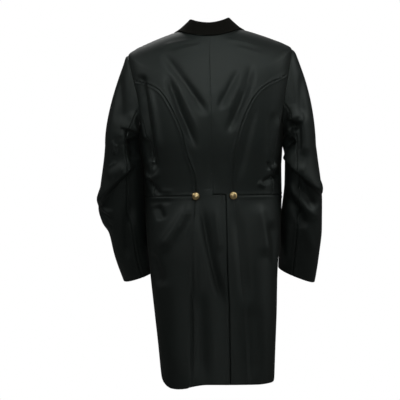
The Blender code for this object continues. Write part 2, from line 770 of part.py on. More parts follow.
def arm_ring(side, height, turn):
    """A point round a sleeve: turn 0 is its outer side, 90 degrees its back."""
    arm, axis = ARM[side], arm_axis(side, height)
    outwards = Vector((SIGNS[side], 0, 0))
    outwards = (outwards - axis * axis.dot(outwards)).normalized()
    backwards = outwards.cross(axis).normalized()
    if backwards.y > 0:
        backwards = -backwards
    half_width = (arm["outer"](height) - arm["inner"](height)) / 2
    square = SLEEVE_SQUARE
    out = (1 + square) * math.cos(turn) - square * math.cos(3 * turn)
    back = (1 + square) * math.sin(turn) + square * math.sin(3 * turn)
    end = CUFF[side]["height"]
    tilt = CUFF[side]["tilt"] * smooth_step(-height, -end - 0.12, -end)
    return (
        arm_centre(side, height)
        + outwards * half_width * out
        + backwards * arm["half_depth"](height) * back
        + axis * half_width * out * tilt
    )


def armhole_point(side, turn):
    """A point on the armhole, where turn 0 is the shoulder tip and 90 degrees its back."""
    level = ARMHOLE_MIDDLE + ARMHOLE_REACH * math.cos(turn)
    bulge = ARMHOLE_BACK[side] if math.sin(turn) > 0 else ARMHOLE_FRONT
    angle = math.pi / 2 - bulge * math.sin(turn)
    point, _ = body_frame(SIGNS[side] * angle, level)
    return point + Vector((SIGNS[side] * SLEEVE_GAP, 0, 0))


def cap_start(side, turn):
    """The way the sleeve head leaves the armhole, as a vector as long as the cap there."""
    top = (1 + math.cos(turn)) / 2
    out = 0.75 - 0.25 * top
    back = -0.12 * math.sin(turn)
    return Vector((SIGNS[side] * out, back, -0.55 - 0.25 * top))


def sleeve_base(side, turn, along):
    """The sleeve's form: along is 0 to 1 over the cap and 1 to 2 down to the cuff."""
    top, bottom = SLEEVES[side][0][0], CUFF[side]["height"]
    if along >= 1:
        return arm_ring(side, top + (bottom - top) * (along - 1), turn)
    start, end = armhole_point(side, turn), arm_ring(side, top, turn)
    reach = (end - start).length
    leave = cap_start(side, turn) * reach * CUFF[side]["head_push"]
    arrive = arm_axis(side, top) * reach * 0.9
    t = along
    lift = HEAD_LIFT * max(math.cos(turn), 0) * t / HEAD_AT * math.exp(1 - t / HEAD_AT)
    return (
        Vector((SIGNS[side], 0, 0.3)) * lift
        + start * ((1 + 2 * t) * (1 - t) ** 2)
        + leave * (t * (1 - t) ** 2)
        + end * (t * t * (3 - 2 * t))
        - arrive * (t * t * (1 - t))
    )


def on_sleeve(side):
    """A place function for a sleeve panel."""
    surface = lambda turn, along: sleeve_base(side, turn, along)
    hole = armhole_point(side, 0.0) * 0.5 + armhole_point(side, math.pi) * 0.5

    def place(turn, along):
        point = surface(turn, along)
        step = 0.004
        at = min(max(along, step), 2 - step)
        normal = normal_of(surface, turn, at, 0.02, step)
        centre = hole if along < 1 else arm_centre(side, point.z)
        if normal.dot(point - centre) < 0:
            normal = -normal
        behind = smooth_step(-normal.y, 0.1, 0.5)
        point = point + normal * (behind * smooth_step(along, 0.3, 0.9) * fold_depth(side, point))
        radial = Vector((0, hole.y - point.y, hole.z - point.z)).normalized()
        blend = smooth_step(along, 0.0, 0.25)
        wall = (radial * (1 - blend) - normal * blend).normalized()
        return point, wall * CLOTH

    return place


def make_sleeve_panel(side, name, bends, material):
    """One of the two panels of a sleeve; bends lists turns and the columns up to each."""
    alongs = [*CAP_SHARES, *spaced(1, 2, SLEEVE_ROWS)[1:]]
    gap = SEAM_GAP / 2 / SLEEVE_RADIUS
    turns = [bends[0][0] + gap]
    for end, columns in bends[1:]:
        end -= gap if end == bends[-1][0] else 0
        turns += spaced(turns[-1], end, columns)[1:]
    grid = [[(turn, along) for turn in turns] for along in alongs]
    return cloth_object(f"{name}_{side}", [grid], on_sleeve(side), material)


def make_button(name, across, level, front, sunk, material):
    """A domed button with a rim, turned about the cloth's normal and let down onto its flats."""
    angle = angle_at(across, level, front)
    point, normal = body_frame(angle, level)
    mesh_data = bmesh.new()
    profile = [mesh_data.verts.new((radius, 0, height)) for radius, height in BUTTON_PROFILE]
    edges = [mesh_data.edges.new(pair) for pair in zip(profile, profile[1:])]
    bmesh.ops.spin(
        mesh_data, geom=[*profile, *edges], cent=(0, 0, 0), axis=(0, 0, 1),
        angle=math.tau, steps=BUTTON_SEGMENTS, use_merge=True,
    )
    bmesh.ops.remove_doubles(mesh_data, verts=mesh_data.verts[:], dist=1e-6)
    bmesh.ops.recalc_face_normals(mesh_data, faces=mesh_data.faces[:])
    mesh = bpy.data.meshes.new(name)
    mesh_data.to_mesh(mesh)
    mesh_data.free()
    button = make_object(name, mesh, material)
    button.location = point - normal * sunk
    button.rotation_mode = "QUATERNION"
    button.rotation_quaternion = normal.to_track_quat("Z", "Y")
    return button


def main():
    """Clears the scene and builds the coat."""
    for thing in list(bpy.data.objects):
        bpy.data.objects.remove(thing)
    wool = make_material("black_wool", (0.012, 0.014, 0.013), 0.75)
    velvet = make_material("black_velvet", (0.008, 0.007, 0.007), 0.9)
    brass = make_material("brass", (0.72, 0.50, 0.22), 0.3, 1.0)
    for side in SIGNS:
        make_back(side, wool)
        make_side_back(side, wool)
        make_front(side, wool)
        make_skirt(side, wool)
        make_lapel(side, wool)
        make_sleeve_panel(side, "top_sleeve", TOP_SLEEVE, wool)
        make_sleeve_panel(side, "under_sleeve", UNDER_SLEEVE, wool)
    make_collar(velvet)
    for row in BUTTONS:
        make_button(*row, brass)


main()
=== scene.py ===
"""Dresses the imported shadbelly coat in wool, velvet and brass, and stands it in soft studio light.

Metres, +Z up. The coat's back faces -Y and the wearer's right is +X. A place on the torso form has
an angle, 0 at the centre back, 90 degrees at the side and 180 at the centre front, negative on the
left, and a level, which is its ring's height at the centre back. A place on a sleeve has a turn, 0
on its outer side and 90 degrees at its back, and an along, 0 to 1 over the cap and 1 to 2 down to
the cuff.
"""

import logging
import math
from collections.abc import Callable, Sequence
from dataclasses import dataclass
from enum import Enum

import bpy
import numpy as np
from mathutils import Matrix, Vector
from mathutils.kdtree import KDTree

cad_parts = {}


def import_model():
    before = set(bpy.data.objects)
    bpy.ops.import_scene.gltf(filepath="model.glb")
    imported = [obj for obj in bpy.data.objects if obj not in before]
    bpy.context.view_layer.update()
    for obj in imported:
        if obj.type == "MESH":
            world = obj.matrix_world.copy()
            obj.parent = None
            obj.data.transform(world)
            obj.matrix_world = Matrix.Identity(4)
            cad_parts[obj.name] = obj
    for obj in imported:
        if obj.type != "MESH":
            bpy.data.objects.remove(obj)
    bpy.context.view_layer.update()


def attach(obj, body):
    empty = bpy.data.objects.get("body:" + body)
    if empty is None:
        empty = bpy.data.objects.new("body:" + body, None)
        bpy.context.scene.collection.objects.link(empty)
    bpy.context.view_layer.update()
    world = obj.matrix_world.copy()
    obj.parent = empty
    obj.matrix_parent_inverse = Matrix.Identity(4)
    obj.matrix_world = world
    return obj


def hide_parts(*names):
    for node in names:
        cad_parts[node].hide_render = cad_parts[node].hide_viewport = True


LOG = logging.getLogger("coat")
Array = np.ndarray
Places = tuple[Array, Array]
Edge = Callable[[Array], Places]

BODY = "root"

# Sizes that the cloth panels share
CLOTH = 0.002
SEAM_GAP = 0.00004
CENTRE_GAP = 0.000004
ON_TOP = CLOTH + 0.0006
SLEEVE_GAP = 0.0001
PITCH = 0.0030

# Rows of points are closer together where a seam runs nearly level and at a panel's ends
DENSE_START = 0.0003
DENSE_GROWTH = 1.32
DENSE_ROWS = 14
END_ROWS = (0.0006, 0.0014, 0.0026)
LEAST_STEP = 0.00022
ARMHOLE_ROWS = 57
ARMHOLE_LEAST = 0.0004
TIGHT_ENDS = (0.0, 0.006, 0.014, 0.026, 0.042)
TIGHT_FROM = 0.06
HANG_ENDS = (0, 0.0013, 0.003, 0.006)
HANG_FROM = 0.01

NECK = -0.012
SHOULDER = -0.130
ARMPIT = -0.280
WAIST = -0.4225
HEM = -0.890
ARMHOLE_MIDDLE = (SHOULDER + ARMPIT) / 2
ARMHOLE_REACH = (SHOULDER - ARMPIT) / 2
ARMHOLE_BACK = {"left": math.radians(30), "right": math.radians(26)}
ARMHOLE_FRONT = math.radians(28)
LEAN = 0.040
LEAN_LOST_BELOW = 0.6
ANGLE_STEP = 0.01
LEVEL_STEP = 0.002
FACING = (0.15, 0.55)

RING_COLUMNS = (
    "level", "side_z", "front_z", "half_width", "back_y", "side_y", "front_y", "square", "sway",
)
RINGS = (
    (-0.012, -0.0030, -0.055, 0.0580, -0.058, 0.000, 0.055, 0.000, -0.0010),
    (-0.045, -0.0205, -0.100, 0.1120, -0.079, 0.000, 0.083, 0.020, -0.0020),
    (-0.085, -0.0390, -0.138, 0.1600, -0.098, 0.000, 0.101, 0.030, -0.0020),
    (-0.110, -0.0500, -0.160, 0.1850, -0.106, 0.000, 0.108, 0.035, -0.0010),
    (-0.130, -0.0640, -0.176, 0.2040, -0.112, 0.000, 0.113, 0.040, 0.0000),
    (-0.150, -0.0860, -0.191, 0.2060, -0.116, 0.000, 0.117, 0.045, 0.0000),
    (-0.175, -0.1230, -0.210, 0.2040, -0.1185, 0.000, 0.122, 0.050, 0.0005),
    (-0.205, -0.1680, -0.233, 0.1985, -0.119, 0.000, 0.126, 0.050, 0.0010),
    (-0.240, -0.2220, -0.260, 0.1900, -0.117, 0.000, 0.128, 0.050, 0.0015),
    (-0.280, -0.2800, -0.288, 0.1810, -0.112, 0.000, 0.125, 0.050, 0.0020),
    (-0.315, -0.3150, -0.319, 0.1755, -0.105, 0.000, 0.1195, 0.045, 0.0030),
    (-0.350, -0.3500, -0.350, 0.1710, -0.097, 0.000, 0.1115, 0.040, 0.0040),
    (-0.4225, -0.4225, -0.4225, 0.1690, -0.087, 0.000, 0.098, 0.030, 0.0062),
    (-0.500, -0.500, -0.500, 0.1670, -0.101, -0.004, 0.096, 0.030, 0.0070),
    (-0.600, -0.600, -0.600, 0.1590, -0.117, -0.018, 0.094, 0.040, 0.0085),
    (-0.720, -0.720, -0.720, 0.1510, -0.124, -0.040, 0.090, 0.040, 0.0140),
    (-0.800, -0.800, -0.800, 0.1450, -0.126, -0.052, 0.090, 0.040, 0.0170),
    (-0.905, -0.905, -0.905, 0.1385, -0.128, -0.062, 0.090, 0.040, 0.0200),
)

# The back's curved seams, as angles at each level, and how far their tops arch up
PRINCESS_COLUMNS = ("level", "left", "right")
PRINCESS_SEAMS = (
    (-0.1685, 54.0, 55.0), (-0.1697, 43.5, 45.0), (-0.1715, 38.5, 39.5), (-0.1745, 34.5, 35.5),
    (-0.180, 31.3, 31.8),
    (-0.192, 27.8, 27.4), (-0.225, 23.0, 22.6), (-0.264, 19.7, 19.4), (-0.323, 17.4, 16.6),
    (-0.374, 13.2, 15.2),
)
PRINCESS_TOP = ARMHOLE_MIDDLE + ARMHOLE_REACH / 2
PRINCESS_ARCH = {"left": 0.0090, "right": 0.0045}
ARCH_BETWEEN = (8.0, 66.0)
ARCH_HEIGHT = 0.035

# Seam lines below the waist: distances from the ring's middle, outwards
PLEAT_COLUMNS = ("level", "left", "right")
PLEATS = (
    (-0.4225, 0.0415, 0.0512),
    (-0.520, 0.0465, 0.0615),
    (-0.700, 0.0540, 0.0690),
    (-0.890, 0.0600, 0.0720),
)
PLEAT_STEP_OUT = 0.012
SIDE_SEAM_COLUMNS = ("level", "degrees")
SIDE_SEAM = ((-0.250, 59.5), (-0.315, 58.0), (-0.4225, 57.0))
SIDE_SEAM_ROWS = [dict(zip(SIDE_SEAM_COLUMNS, row)) for row in SIDE_SEAM]
SIDE_TOP_DROP = 0.0010
SIDE_TOP = ARMHOLE_MIDDLE - ARMHOLE_REACH * math.cos(math.radians(75))
# The left tail's lap at the centre back: how it rises, its edge and the dip beside it
VENT_RAMP = 0.036
VENT_EDGE_RISE = 0.012
VENT_TOP_RISE = 0.020
VENT_COLUMNS = ("level", "from_middle")
VENT_EDGE = (
    (-0.4225, 0.0300), (-0.520, 0.0318), (-0.660, 0.0318), (-0.800, 0.0292), (-0.890, 0.0280),
)
VENT_STAND = 0.0010
VENT_GROOVE = 0.0026
VENT_GROOVE_AT = 0.0016
VENT_GROOVE_WIDTH = 0.0024
VENT_TOP_AT = 0.0022
VENT_TOP_WIDTH = 0.0019
UNDER_PLEAT = {"left": 0.62, "right": 0.66}
TAIL_EDGE_COLUMNS = ("level", "left", "right")
TAIL_EDGE = (
    (-0.4225, 124.0, 124.0), (-0.460, 119.0, 119.0), (-0.520, 108.0, 108.0),
    (-0.600, 98.0, 98.0), (-0.720, 91.0, 92.0), (-0.830, 87.0, 90.0), (-0.868, 81.0, 88.0),
    (-0.880, 73.0, 84.0), (-0.891, 67.0, 77.0), (-0.905, 60.0, 68.0),
)
HEM_COLUMNS = ("across", "height")
HEM_LINE = (
    (-0.1125, -0.8805), (-0.1075, -0.8915), (-0.1000, -0.8970), (-0.0825, -0.8992),
    (-0.060, -0.8975), (-0.050, -0.8945),
    (-0.0075, -0.8890), (0.055, -0.8900), (0.1175, -0.8905), (0.150, -0.8870), (0.1563, -0.8835),
    (0.158, -0.8700),
)
FRONT_EDGE_COLUMNS = ("level", "from_middle")
FRONT_EDGE = (
    (-0.012, 0.0535), (-0.030, 0.0465), (-0.045, 0.0425), (-0.085, 0.0360), (-0.130, 0.0285),
    (-0.205, 0.0155),
    (-0.250, 0.0068), (-0.265, 0.0052), (-0.360, 0.0042), (-0.4225, 0.0100), (-0.475, 0.0260),
)
BACK_COLUMNS = 56
SIDE_COLUMNS = 36
FRONT_COLUMNS_BEHIND = 24
FRONT_COLUMNS_AHEAD = 49
STRAP_END = 3 / 7
POINT_COLUMNS = ("share", "drop")
FRONT_POINT = ((STRAP_END, 0.004), (0.60, 0.020), (0.82, 0.047), (0.92, 0.050), (1.0, 0.034))

BREAK = -0.258
LAPEL_COLUMNS = ("level", "from_middle")
LAPEL_EDGE = (
    (-0.258, 0.0180), (-0.235, 0.0440), (-0.200, 0.0760), (-0.165, 0.1000), (-0.130, 0.1150),
    (-0.100, 0.1200),
)
LAPEL_CORNER = -0.100
GORGE_GAP = 0.0004

COLLAR_COLUMNS = ("step", "neck_degrees", "neck_level", "stand", "fall_degrees", "fall_level")
COLLAR_STEPS = (
    (0, 0.0, -0.012, 0.0225, 0.0, -0.0245),
    (1, 40.0, -0.012, 0.0240, 38.0, -0.0235),
    (2, 70.0, -0.012, 0.0255, 68.0, -0.0230),
    (3, 90.0, -0.012, 0.0240, 87.0, -0.0255),
    (4, 102.0, -0.012, 0.0205, 98.0, -0.0300),
    (5, 112.7, -0.012, 0.0160, 108.0, -0.0385),
    (6, 200.0, -0.040, 0.0060, 140.0, -0.0660),
)
COLLAR_CLEAR = 0.0012
COLLAR_RISE = 0.0011
COLLAR_LIFT = CLOTH + 0.0012
COLLAR_FOLD = (COLLAR_CLEAR + CLOTH + COLLAR_LIFT) / 2
COLLAR_LEAN = 0.45

SLEEVE_COLUMNS = ("height", "outer", "inner", "middle_y", "half_depth")
SLEEVES = {
    "left": (
        (-0.295, 0.2625, 0.1810, 0.003, 0.060),
        (-0.340, 0.2670, 0.1700, 0.010, 0.060),
        (-0.390, 0.2735, 0.1645, 0.020, 0.058),
        (-0.4475, 0.2800, 0.1620, 0.028, 0.055),
        (-0.470, 0.2735, 0.1600, 0.030, 0.053),
        (-0.500, 0.2560, 0.1570, 0.034, 0.050),
        (-0.560, 0.2410, 0.1500, 0.046, 0.043),
        (-0.628, 0.2170, 0.1360, 0.064, 0.038),
        (-0.680, 0.1980, 0.1220, 0.078, 0.037),
    ),
    "right": (
        (-0.295, 0.2650, 0.1870, 0.002, 0.060),
        (-0.340, 0.2710, 0.1868, 0.006, 0.059),
        (-0.390, 0.2778, 0.1862, 0.012, 0.056),
        (-0.435, 0.2810, 0.1824, 0.018, 0.053),
        (-0.500, 0.2808, 0.1770, 0.028, 0.048),
        (-0.560, 0.2745, 0.1728, 0.041, 0.043),
        (-0.620, 0.2652, 0.1690, 0.055, 0.039),
        (-0.680, 0.2500, 0.1640, 0.068, 0.037),
    ),
}
CUFF_COLUMNS = ("height", "tilt", "head_push")
CUFFS = {"left": (-0.620, 0.05, 0.50), "right": (-0.618, 0.26, 1.00)}
HEAD_LIFT = 0.0035
HEAD_AT = 0.05
SLEEVE_SQUARE = 0.03
SLEEVE_RADIUS = 0.040
SLEEVE_ROUND = 1.25
HIND_SEAM = math.radians(102)
FORE_SEAM = math.radians(245)

# Creases: a line from one end to the other as seen from behind or from the front, how far it
# bows to its left, its width and depth, and 1 where it fades out at its ends
FADE_SHARE = 0.24
CREASE_COLUMNS = ("x0", "z0", "x1", "z1", "bow", "width", "depth", "fade")
BACK_CREASES = (
    # The hollows from the shoulder blades to the waist, and drag lines under the collar
    (-0.124, -0.056, -0.004, -0.226, 0.0, 0.0105, -0.0082, 1.0),
    (-0.110, -0.108, -0.028, -0.312, -0.006, 0.0088, -0.0070, 1.0),
    (-0.088, -0.126, -0.024, -0.270, 0.0, 0.0085, 0.0030, 1.0),
    (0.104, -0.086, 0.037, -0.272, 0.010, 0.0100, -0.0080, 1.0),
    (0.074, -0.104, 0.018, -0.212, 0.0, 0.0085, -0.0046, 1.0),
    (0.078, -0.138, 0.042, -0.220, 0.0, 0.0080, 0.0026, 1.0),
    (0.114, -0.195, 0.068, -0.385, 0.0, 0.0090, -0.0034, 1.0),
    (-0.002, -0.210, 0.002, -0.418, 0.0, 0.0160, -0.0036, 1.0),
    (-0.122, -0.052, -0.030, -0.036, 0.003, 0.0050, 0.0020, 1.0),
    (-0.098, -0.068, -0.016, -0.048, 0.003, 0.0055, 0.0016, 1.0),
    (0.036, -0.034, 0.122, -0.054, 0.004, 0.0050, 0.0020, 1.0),
    (0.060, -0.052, 0.140, -0.078, 0.003, 0.0060, 0.0014, 1.0),
    (-0.050, -0.318, -0.040, -0.372, 0.0, 0.0030, 0.0012, 1.0),
    (-0.056, -0.312, -0.046, -0.368, 0.0, 0.0030, 0.0012, 1.0),
    (0.060, -0.290, 0.052, -0.350, 0.0, 0.0032, 0.0012, 1.0),
    # The left underarm's hollows and the turned-up loop at their foot
    (-0.168, -0.136, -0.139, -0.345, -0.004, 0.0090, -0.0150, 0.35),
    (-0.170, -0.275, -0.148, -0.342, 0.0, 0.0090, -0.0110, 1.0),
    (-0.165, -0.350, -0.122, -0.356, -0.025, 0.0050, 0.0066, 1.0),
    (-0.159, -0.378, -0.118, -0.420, -0.003, 0.0080, -0.0070, 1.0),
    (-0.156, -0.140, -0.127, -0.325, 0.005, 0.0080, 0.0056, 1.0),
    (-0.140, -0.408, -0.086, -0.412, 0.0, 0.0060, 0.0020, 1.0),
    # The right side's puckers
    (0.150, -0.357, 0.168, -0.343, 0.0, 0.0056, 0.0060, 1.0),
    (0.145, -0.336, 0.147, -0.358, 0.0, 0.0042, -0.0062, 1.0),
    (0.128, -0.394, 0.176, -0.371, 0.003, 0.0066, -0.0082, 1.0),
    (0.118, -0.388, 0.139, -0.400, 0.0, 0.0056, 0.0046, 1.0),
    (0.172, -0.225, 0.150, -0.330, -0.004, 0.0075, 0.0044, 1.0),
    (0.158, -0.210, 0.146, -0.325, -0.002, 0.0080, -0.0040, 1.0),
    # The tails' drapes
    (-0.156, -0.437, -0.092, -0.434, -0.002, 0.0065, -0.0034, 1.0),
    (-0.132, -0.444, -0.118, -0.482, 0.0, 0.0088, -0.0088, 1.0),
    (-0.046, -0.432, -0.131, -0.566, 0.006, 0.0140, 0.0112, 1.0),
    (-0.152, -0.560, -0.118, -0.650, 0.0, 0.0160, -0.0086, 1.0),
    (-0.038, -0.446, -0.036, -0.680, 0.0, 0.0105, 0.0044, 1.0),
    (-0.021, -0.440, 0.034, -0.705, -0.006, 0.0125, -0.0110, 1.0),
    (0.012, -0.440, 0.027, -0.570, 0.0, 0.0095, 0.0044, 1.0),
    (0.064, -0.438, 0.090, -0.700, 0.003, 0.0165, -0.0088, 1.0),
    (0.112, -0.436, 0.142, -0.580, 0.004, 0.0160, 0.0088, 1.0),
    (0.150, -0.480, 0.172, -0.610, 0.0, 0.0125, -0.0086, 1.0),
    (-0.098, -0.590, -0.106, -0.880, 0.004, 0.0300, 0.0050, 1.0),
    (-0.030, -0.650, -0.024, -0.880, 0.0, 0.0200, -0.0050, 1.0),
    (0.098, -0.680, 0.104, -0.885, 0.004, 0.0220, -0.0044, 1.0),
)
FRONT_CREASES = (
    (-0.172, -0.215, -0.118, -0.330, 0.012, 0.012, -0.0060, 1.0),
    (-0.158, -0.205, -0.098, -0.275, 0.006, 0.009, 0.0040, 1.0),
    (0.170, -0.210, 0.122, -0.318, -0.010, 0.012, -0.0056, 1.0),
    (0.156, -0.235, 0.104, -0.292, -0.004, 0.009, 0.0038, 1.0),
    (-0.150, -0.352, -0.098, -0.386, 0.004, 0.008, -0.0042, 1.0),
    (0.152, -0.345, 0.088, -0.392, -0.005, 0.008, -0.0044, 1.0),
    (-0.128, -0.080, -0.150, -0.160, -0.006, 0.014, -0.0030, 1.0),
    (0.124, -0.084, 0.148, -0.168, 0.005, 0.014, -0.0030, 1.0),
)
SLEEVE_CREASES = {
    "left": (
        # The hollow down the upper sleeve, the cloth beside the armhole and what is under it
        (-0.228, -0.110, -0.222, -0.250, 0.0, 0.0140, -0.0075, 1.0),
        (-0.192, -0.212, -0.178, -0.262, 0.0, 0.0120, 0.0060, 1.0),
        (-0.196, -0.276, -0.183, -0.332, 0.0, 0.0140, -0.0130, 1.0),
        # The bulge over the elbow's first crease, with its fine wrinkles
        (-0.258, -0.372, -0.208, -0.346, 0.0, 0.0130, 0.0044, 1.0),
        (-0.243, -0.282, -0.237, -0.322, 0.0, 0.0038, 0.0022, 1.0),
        (-0.232, -0.292, -0.238, -0.318, 0.0, 0.0034, 0.0018, 1.0),
        (-0.252, -0.352, -0.232, -0.336, 0.0, 0.0036, 0.0016, 1.0),
        # The elbow's kink and the lower sleeve
        (-0.279, -0.452, -0.243, -0.490, 0.0, 0.0055, -0.0056, 1.0),
        (-0.278, -0.456, -0.243, -0.467, 0.0, 0.0062, 0.0048, 1.0),
        (-0.264, -0.474, -0.244, -0.489, 0.0, 0.0034, 0.0026, 1.0),
        (-0.260, -0.486, -0.242, -0.503, 0.0, 0.0034, -0.0028, 1.0),
        (-0.196, -0.430, -0.208, -0.590, -0.005, 0.0120, -0.0060, 1.0),
        (-0.226, -0.500, -0.196, -0.640, 0.0, 0.0130, 0.0032, 1.0),
    ),
    "right": (
        # The hollow down the upper sleeve and the underarm's folds, one over the other
        (0.226, -0.110, 0.232, -0.232, 0.0, 0.0130, -0.0065, 1.0),
        (0.196, -0.198, 0.215, -0.234, 0.0, 0.0130, 0.0066, 1.0),
        (0.194, -0.250, 0.221, -0.247, 0.0, 0.0085, -0.0100, 1.0),
        (0.194, -0.281, 0.215, -0.260, 0.0, 0.0045, 0.0044, 1.0),
        (0.181, -0.302, 0.212, -0.281, 0.0, 0.0100, -0.0120, 1.0),
        # The bulge over the elbow's first crease
        (0.202, -0.352, 0.238, -0.356, 0.0, 0.0110, 0.0050, 1.0),
        (0.218, -0.376, 0.266, -0.456, 0.0, 0.0120, -0.0105, 1.0),
        (0.196, -0.382, 0.275, -0.483, -0.010, 0.0100, 0.0080, 1.0),
        (0.203, -0.425, 0.244, -0.500, -0.004, 0.0105, -0.0080, 1.0),
        (0.232, -0.490, 0.262, -0.570, 0.0, 0.0120, 0.0034, 1.0),
        (0.196, -0.480, 0.190, -0.600, 0.0, 0.0100, 0.0034, 1.0),
    ),
}
SLEEVE_FRONT_CREASES = {
    "left": (
        (-0.186, -0.395, -0.250, -0.440, 0.006, 0.0090, -0.0070, 1.0),
        (-0.182, -0.430, -0.244, -0.470, 0.006, 0.0085, -0.0066, 1.0),
        (-0.184, -0.412, -0.246, -0.455, 0.006, 0.0075, 0.0042, 1.0),
        (-0.180, -0.300, -0.226, -0.356, 0.006, 0.0110, -0.0056, 1.0),
    ),
    "right": (
        (0.196, -0.392, 0.256, -0.432, -0.006, 0.0090, -0.0068, 1.0),
        (0.198, -0.428, 0.262, -0.462, -0.006, 0.0085, -0.0066, 1.0),
        (0.197, -0.410, 0.258, -0.448, -0.006, 0.0075, 0.0042, 1.0),
        (0.194, -0.300, 0.232, -0.350, -0.006, 0.0110, -0.0058, 1.0),
    ),
}
# Folds: cloth on the left of a line hangs over it. Height is how far it stands out, reach how
# far that eases off over, and edge how wide its drop is
FOLD_COLUMNS = ("x0", "z0", "x1", "z1", "bow", "height", "reach", "edge")
SLEEVE_FOLDS = {
    "left": (
        (-0.282, -0.462, -0.182, -0.342, 0.007, 0.0150, 0.026, 0.0050),
        (-0.226, -0.254, -0.166, -0.277, 0.006, 0.0100, 0.024, 0.0080),
        (-0.190, -0.362, -0.212, -0.244, 0.006, 0.0080, 0.020, 0.0110),
    ),
    "right": (
        (0.174, -0.298, 0.290, -0.430, -0.010, 0.0165, 0.027, 0.0050),
        (0.180, -0.233, 0.232, -0.243, 0.002, 0.0100, 0.022, 0.0060),
        (0.222, -0.218, 0.225, -0.326, 0.003, 0.0080, 0.020, 0.0080),
    ),
}
# Where a sleeve's inner side leans on the coat: its height, its half length and its push
LEAN_COLUMNS = ("height", "length", "push")
SLEEVE_LEANS = {
    "left": ((-0.290, 0.017, 0.0040), (-0.335, 0.026, 0.0021), (-0.4225, 0.030, 0.0016)),
    "right": ((-0.286, 0.022, 0.0082), (-0.470, 0.040, 0.0016)),
}
RIGHT_FILL_COLUMNS = ("level", "push")
RIGHT_FILL = (
    (-0.250, 0.0), (-0.300, 0.0012), (-0.340, 0.0034), (-0.430, 0.0040), (-0.500, 0.0034),
    (-0.600, 0.0018), (-0.750, 0.0008), (-0.905, 0.0004),
)

BUTTON_COLUMNS = ("node", "across", "level", "front", "sunk")
BUTTONS = (
    ("button_waist_left", -0.0415, -0.4225, False, -0.00025),
    ("button_waist_right", 0.0512, -0.4225, False, -0.00055),
    ("button_front_left_top", -0.0760, -0.284, True, 0.00075),
    ("button_front_left_middle", -0.0660, -0.340, True, 0.00040),
    ("button_front_left_low", -0.0560, -0.396, True, 0.00018),
    ("button_front_right_top", 0.0760, -0.284, True, 0.00075),
    ("button_front_right_middle", 0.0660, -0.340, True, 0.00040),
    ("button_front_right_low", 0.0560, -0.396, True, 0.00018),
)


class Side(Enum):
    """The wearer's two sides; the value is the sign of X."""

    LEFT = -1
    RIGHT = 1

    @property
    def word(self) -> str:
        """The side's name as the tables and nodes write it."""
        return self.name.lower()


class EdgeKind(Enum):
    """How a panel ends: free, sewn to a neighbour that runs on, or set in at an angle.

    A pressed seam is a sewn one that lies nearly flat.
    """

    FREE = 0
    PRESSED = 1
    ROLLED = 2
    SET_IN = 3


# A grid's edges: its first and last columns and its first and last rows
NEAR_EDGE, FAR_EDGE = np.s_[:, 0], np.s_[:, -1]
LOW_EDGE, HIGH_EDGE = np.s_[0, :], np.s_[-1, :]


class Curve:
    """A smooth line through pairs of numbers that never overshoots them."""

    def __init__(self, pairs: Sequence[tuple[float, float]]) -> None:
        """Works out the slope at each pair.

        Args:
            pairs: Places and the line's values there, in any order.
        """
        ordered = sorted(pairs)
        self.ats = np.array([at for at, _ in ordered])
        self.values = np.array([value for _, value in ordered])
        steps = np.diff(self.values) / np.diff(self.ats)
        before, after = steps[:-1], steps[1:]
        together = before * after > 0
        total = np.where(together, before + after, 1.0)
        middle = np.where(together, 2 * before * after / total, 0.0)
        self.slopes = np.concatenate([steps[:1], middle, steps[-1:]])

    def __call__(self, at: Array | float) -> Array:
        """The line's values at the given places."""
        at = np.clip(at, self.ats[0], self.ats[-1])
        i = np.clip(np.searchsorted(self.ats, at, side="right") - 1, 0, len(self.ats) - 2)
        width = self.ats[i + 1] - self.ats[i]
        t = (at - self.ats[i]) / width
        return (
            (1 + 2 * t) * (1 - t) ** 2 * self.values[i]
            + t * (1 - t) ** 2 * width * self.slopes[i]
            + t * t * (3 - 2 * t) * self.values[i + 1]
            - t * t * (1 - t) * width * self.slopes[i + 1]
        )


def curves_of(columns: Sequence[str], rows: Sequence[Sequence[float]]) -> dict[str, Curve]:
    """One curve for each column after the first, by name.

    Args:
        columns: The column names.
        rows: The table.

    Returns:
        The curves over the first column.
    """
    return {
        name: Curve([(row[0], row[i]) for row in rows])
        for i, name in enumerate(columns)
        if i > 0
    }


def smooth_step(value: Array | float, low: float, high: float) -> Array:
    """0 before low, 1 after high and a soft rise between them."""
    t = np.clip((value - low) / (high - low), 0.0, 1.0)
    return t * t * (3 - 2 * t)


def unit(vectors: Array) -> Array:
    """Vectors of length 1 along the given ones."""
    return vectors / np.maximum(np.linalg.norm(vectors, axis=-1, keepdims=True), 1e-12)


def dot(a: Array, b: Array) -> Array:
    """The dot products of two rows of vectors, kept as a column."""
    return (a * b).sum(axis=-1, keepdims=True)


def mix(start: Places, end: Places, share: Array | float) -> Places:
    """Places part of the way from start to end."""
    return tuple(a + (b - a) * share for a, b in zip(start, end))


def linear_colour(code: str) -> tuple[float, float, float, float]:
    """Turns an sRGB hex colour to linear.

    Args:
        code: The colour as #rrggbb.

    Returns:
        Linear red, green and blue, and an alpha of 1.
    """
    parts = [int(code[i : i + 2], 16) / 255 for i in (1, 3, 5)]
    linear = [p / 12.92 if p <= 0.04045 else ((p + 0.055) / 1.055) ** 2.4 for p in parts]
    return (*linear, 1.0)


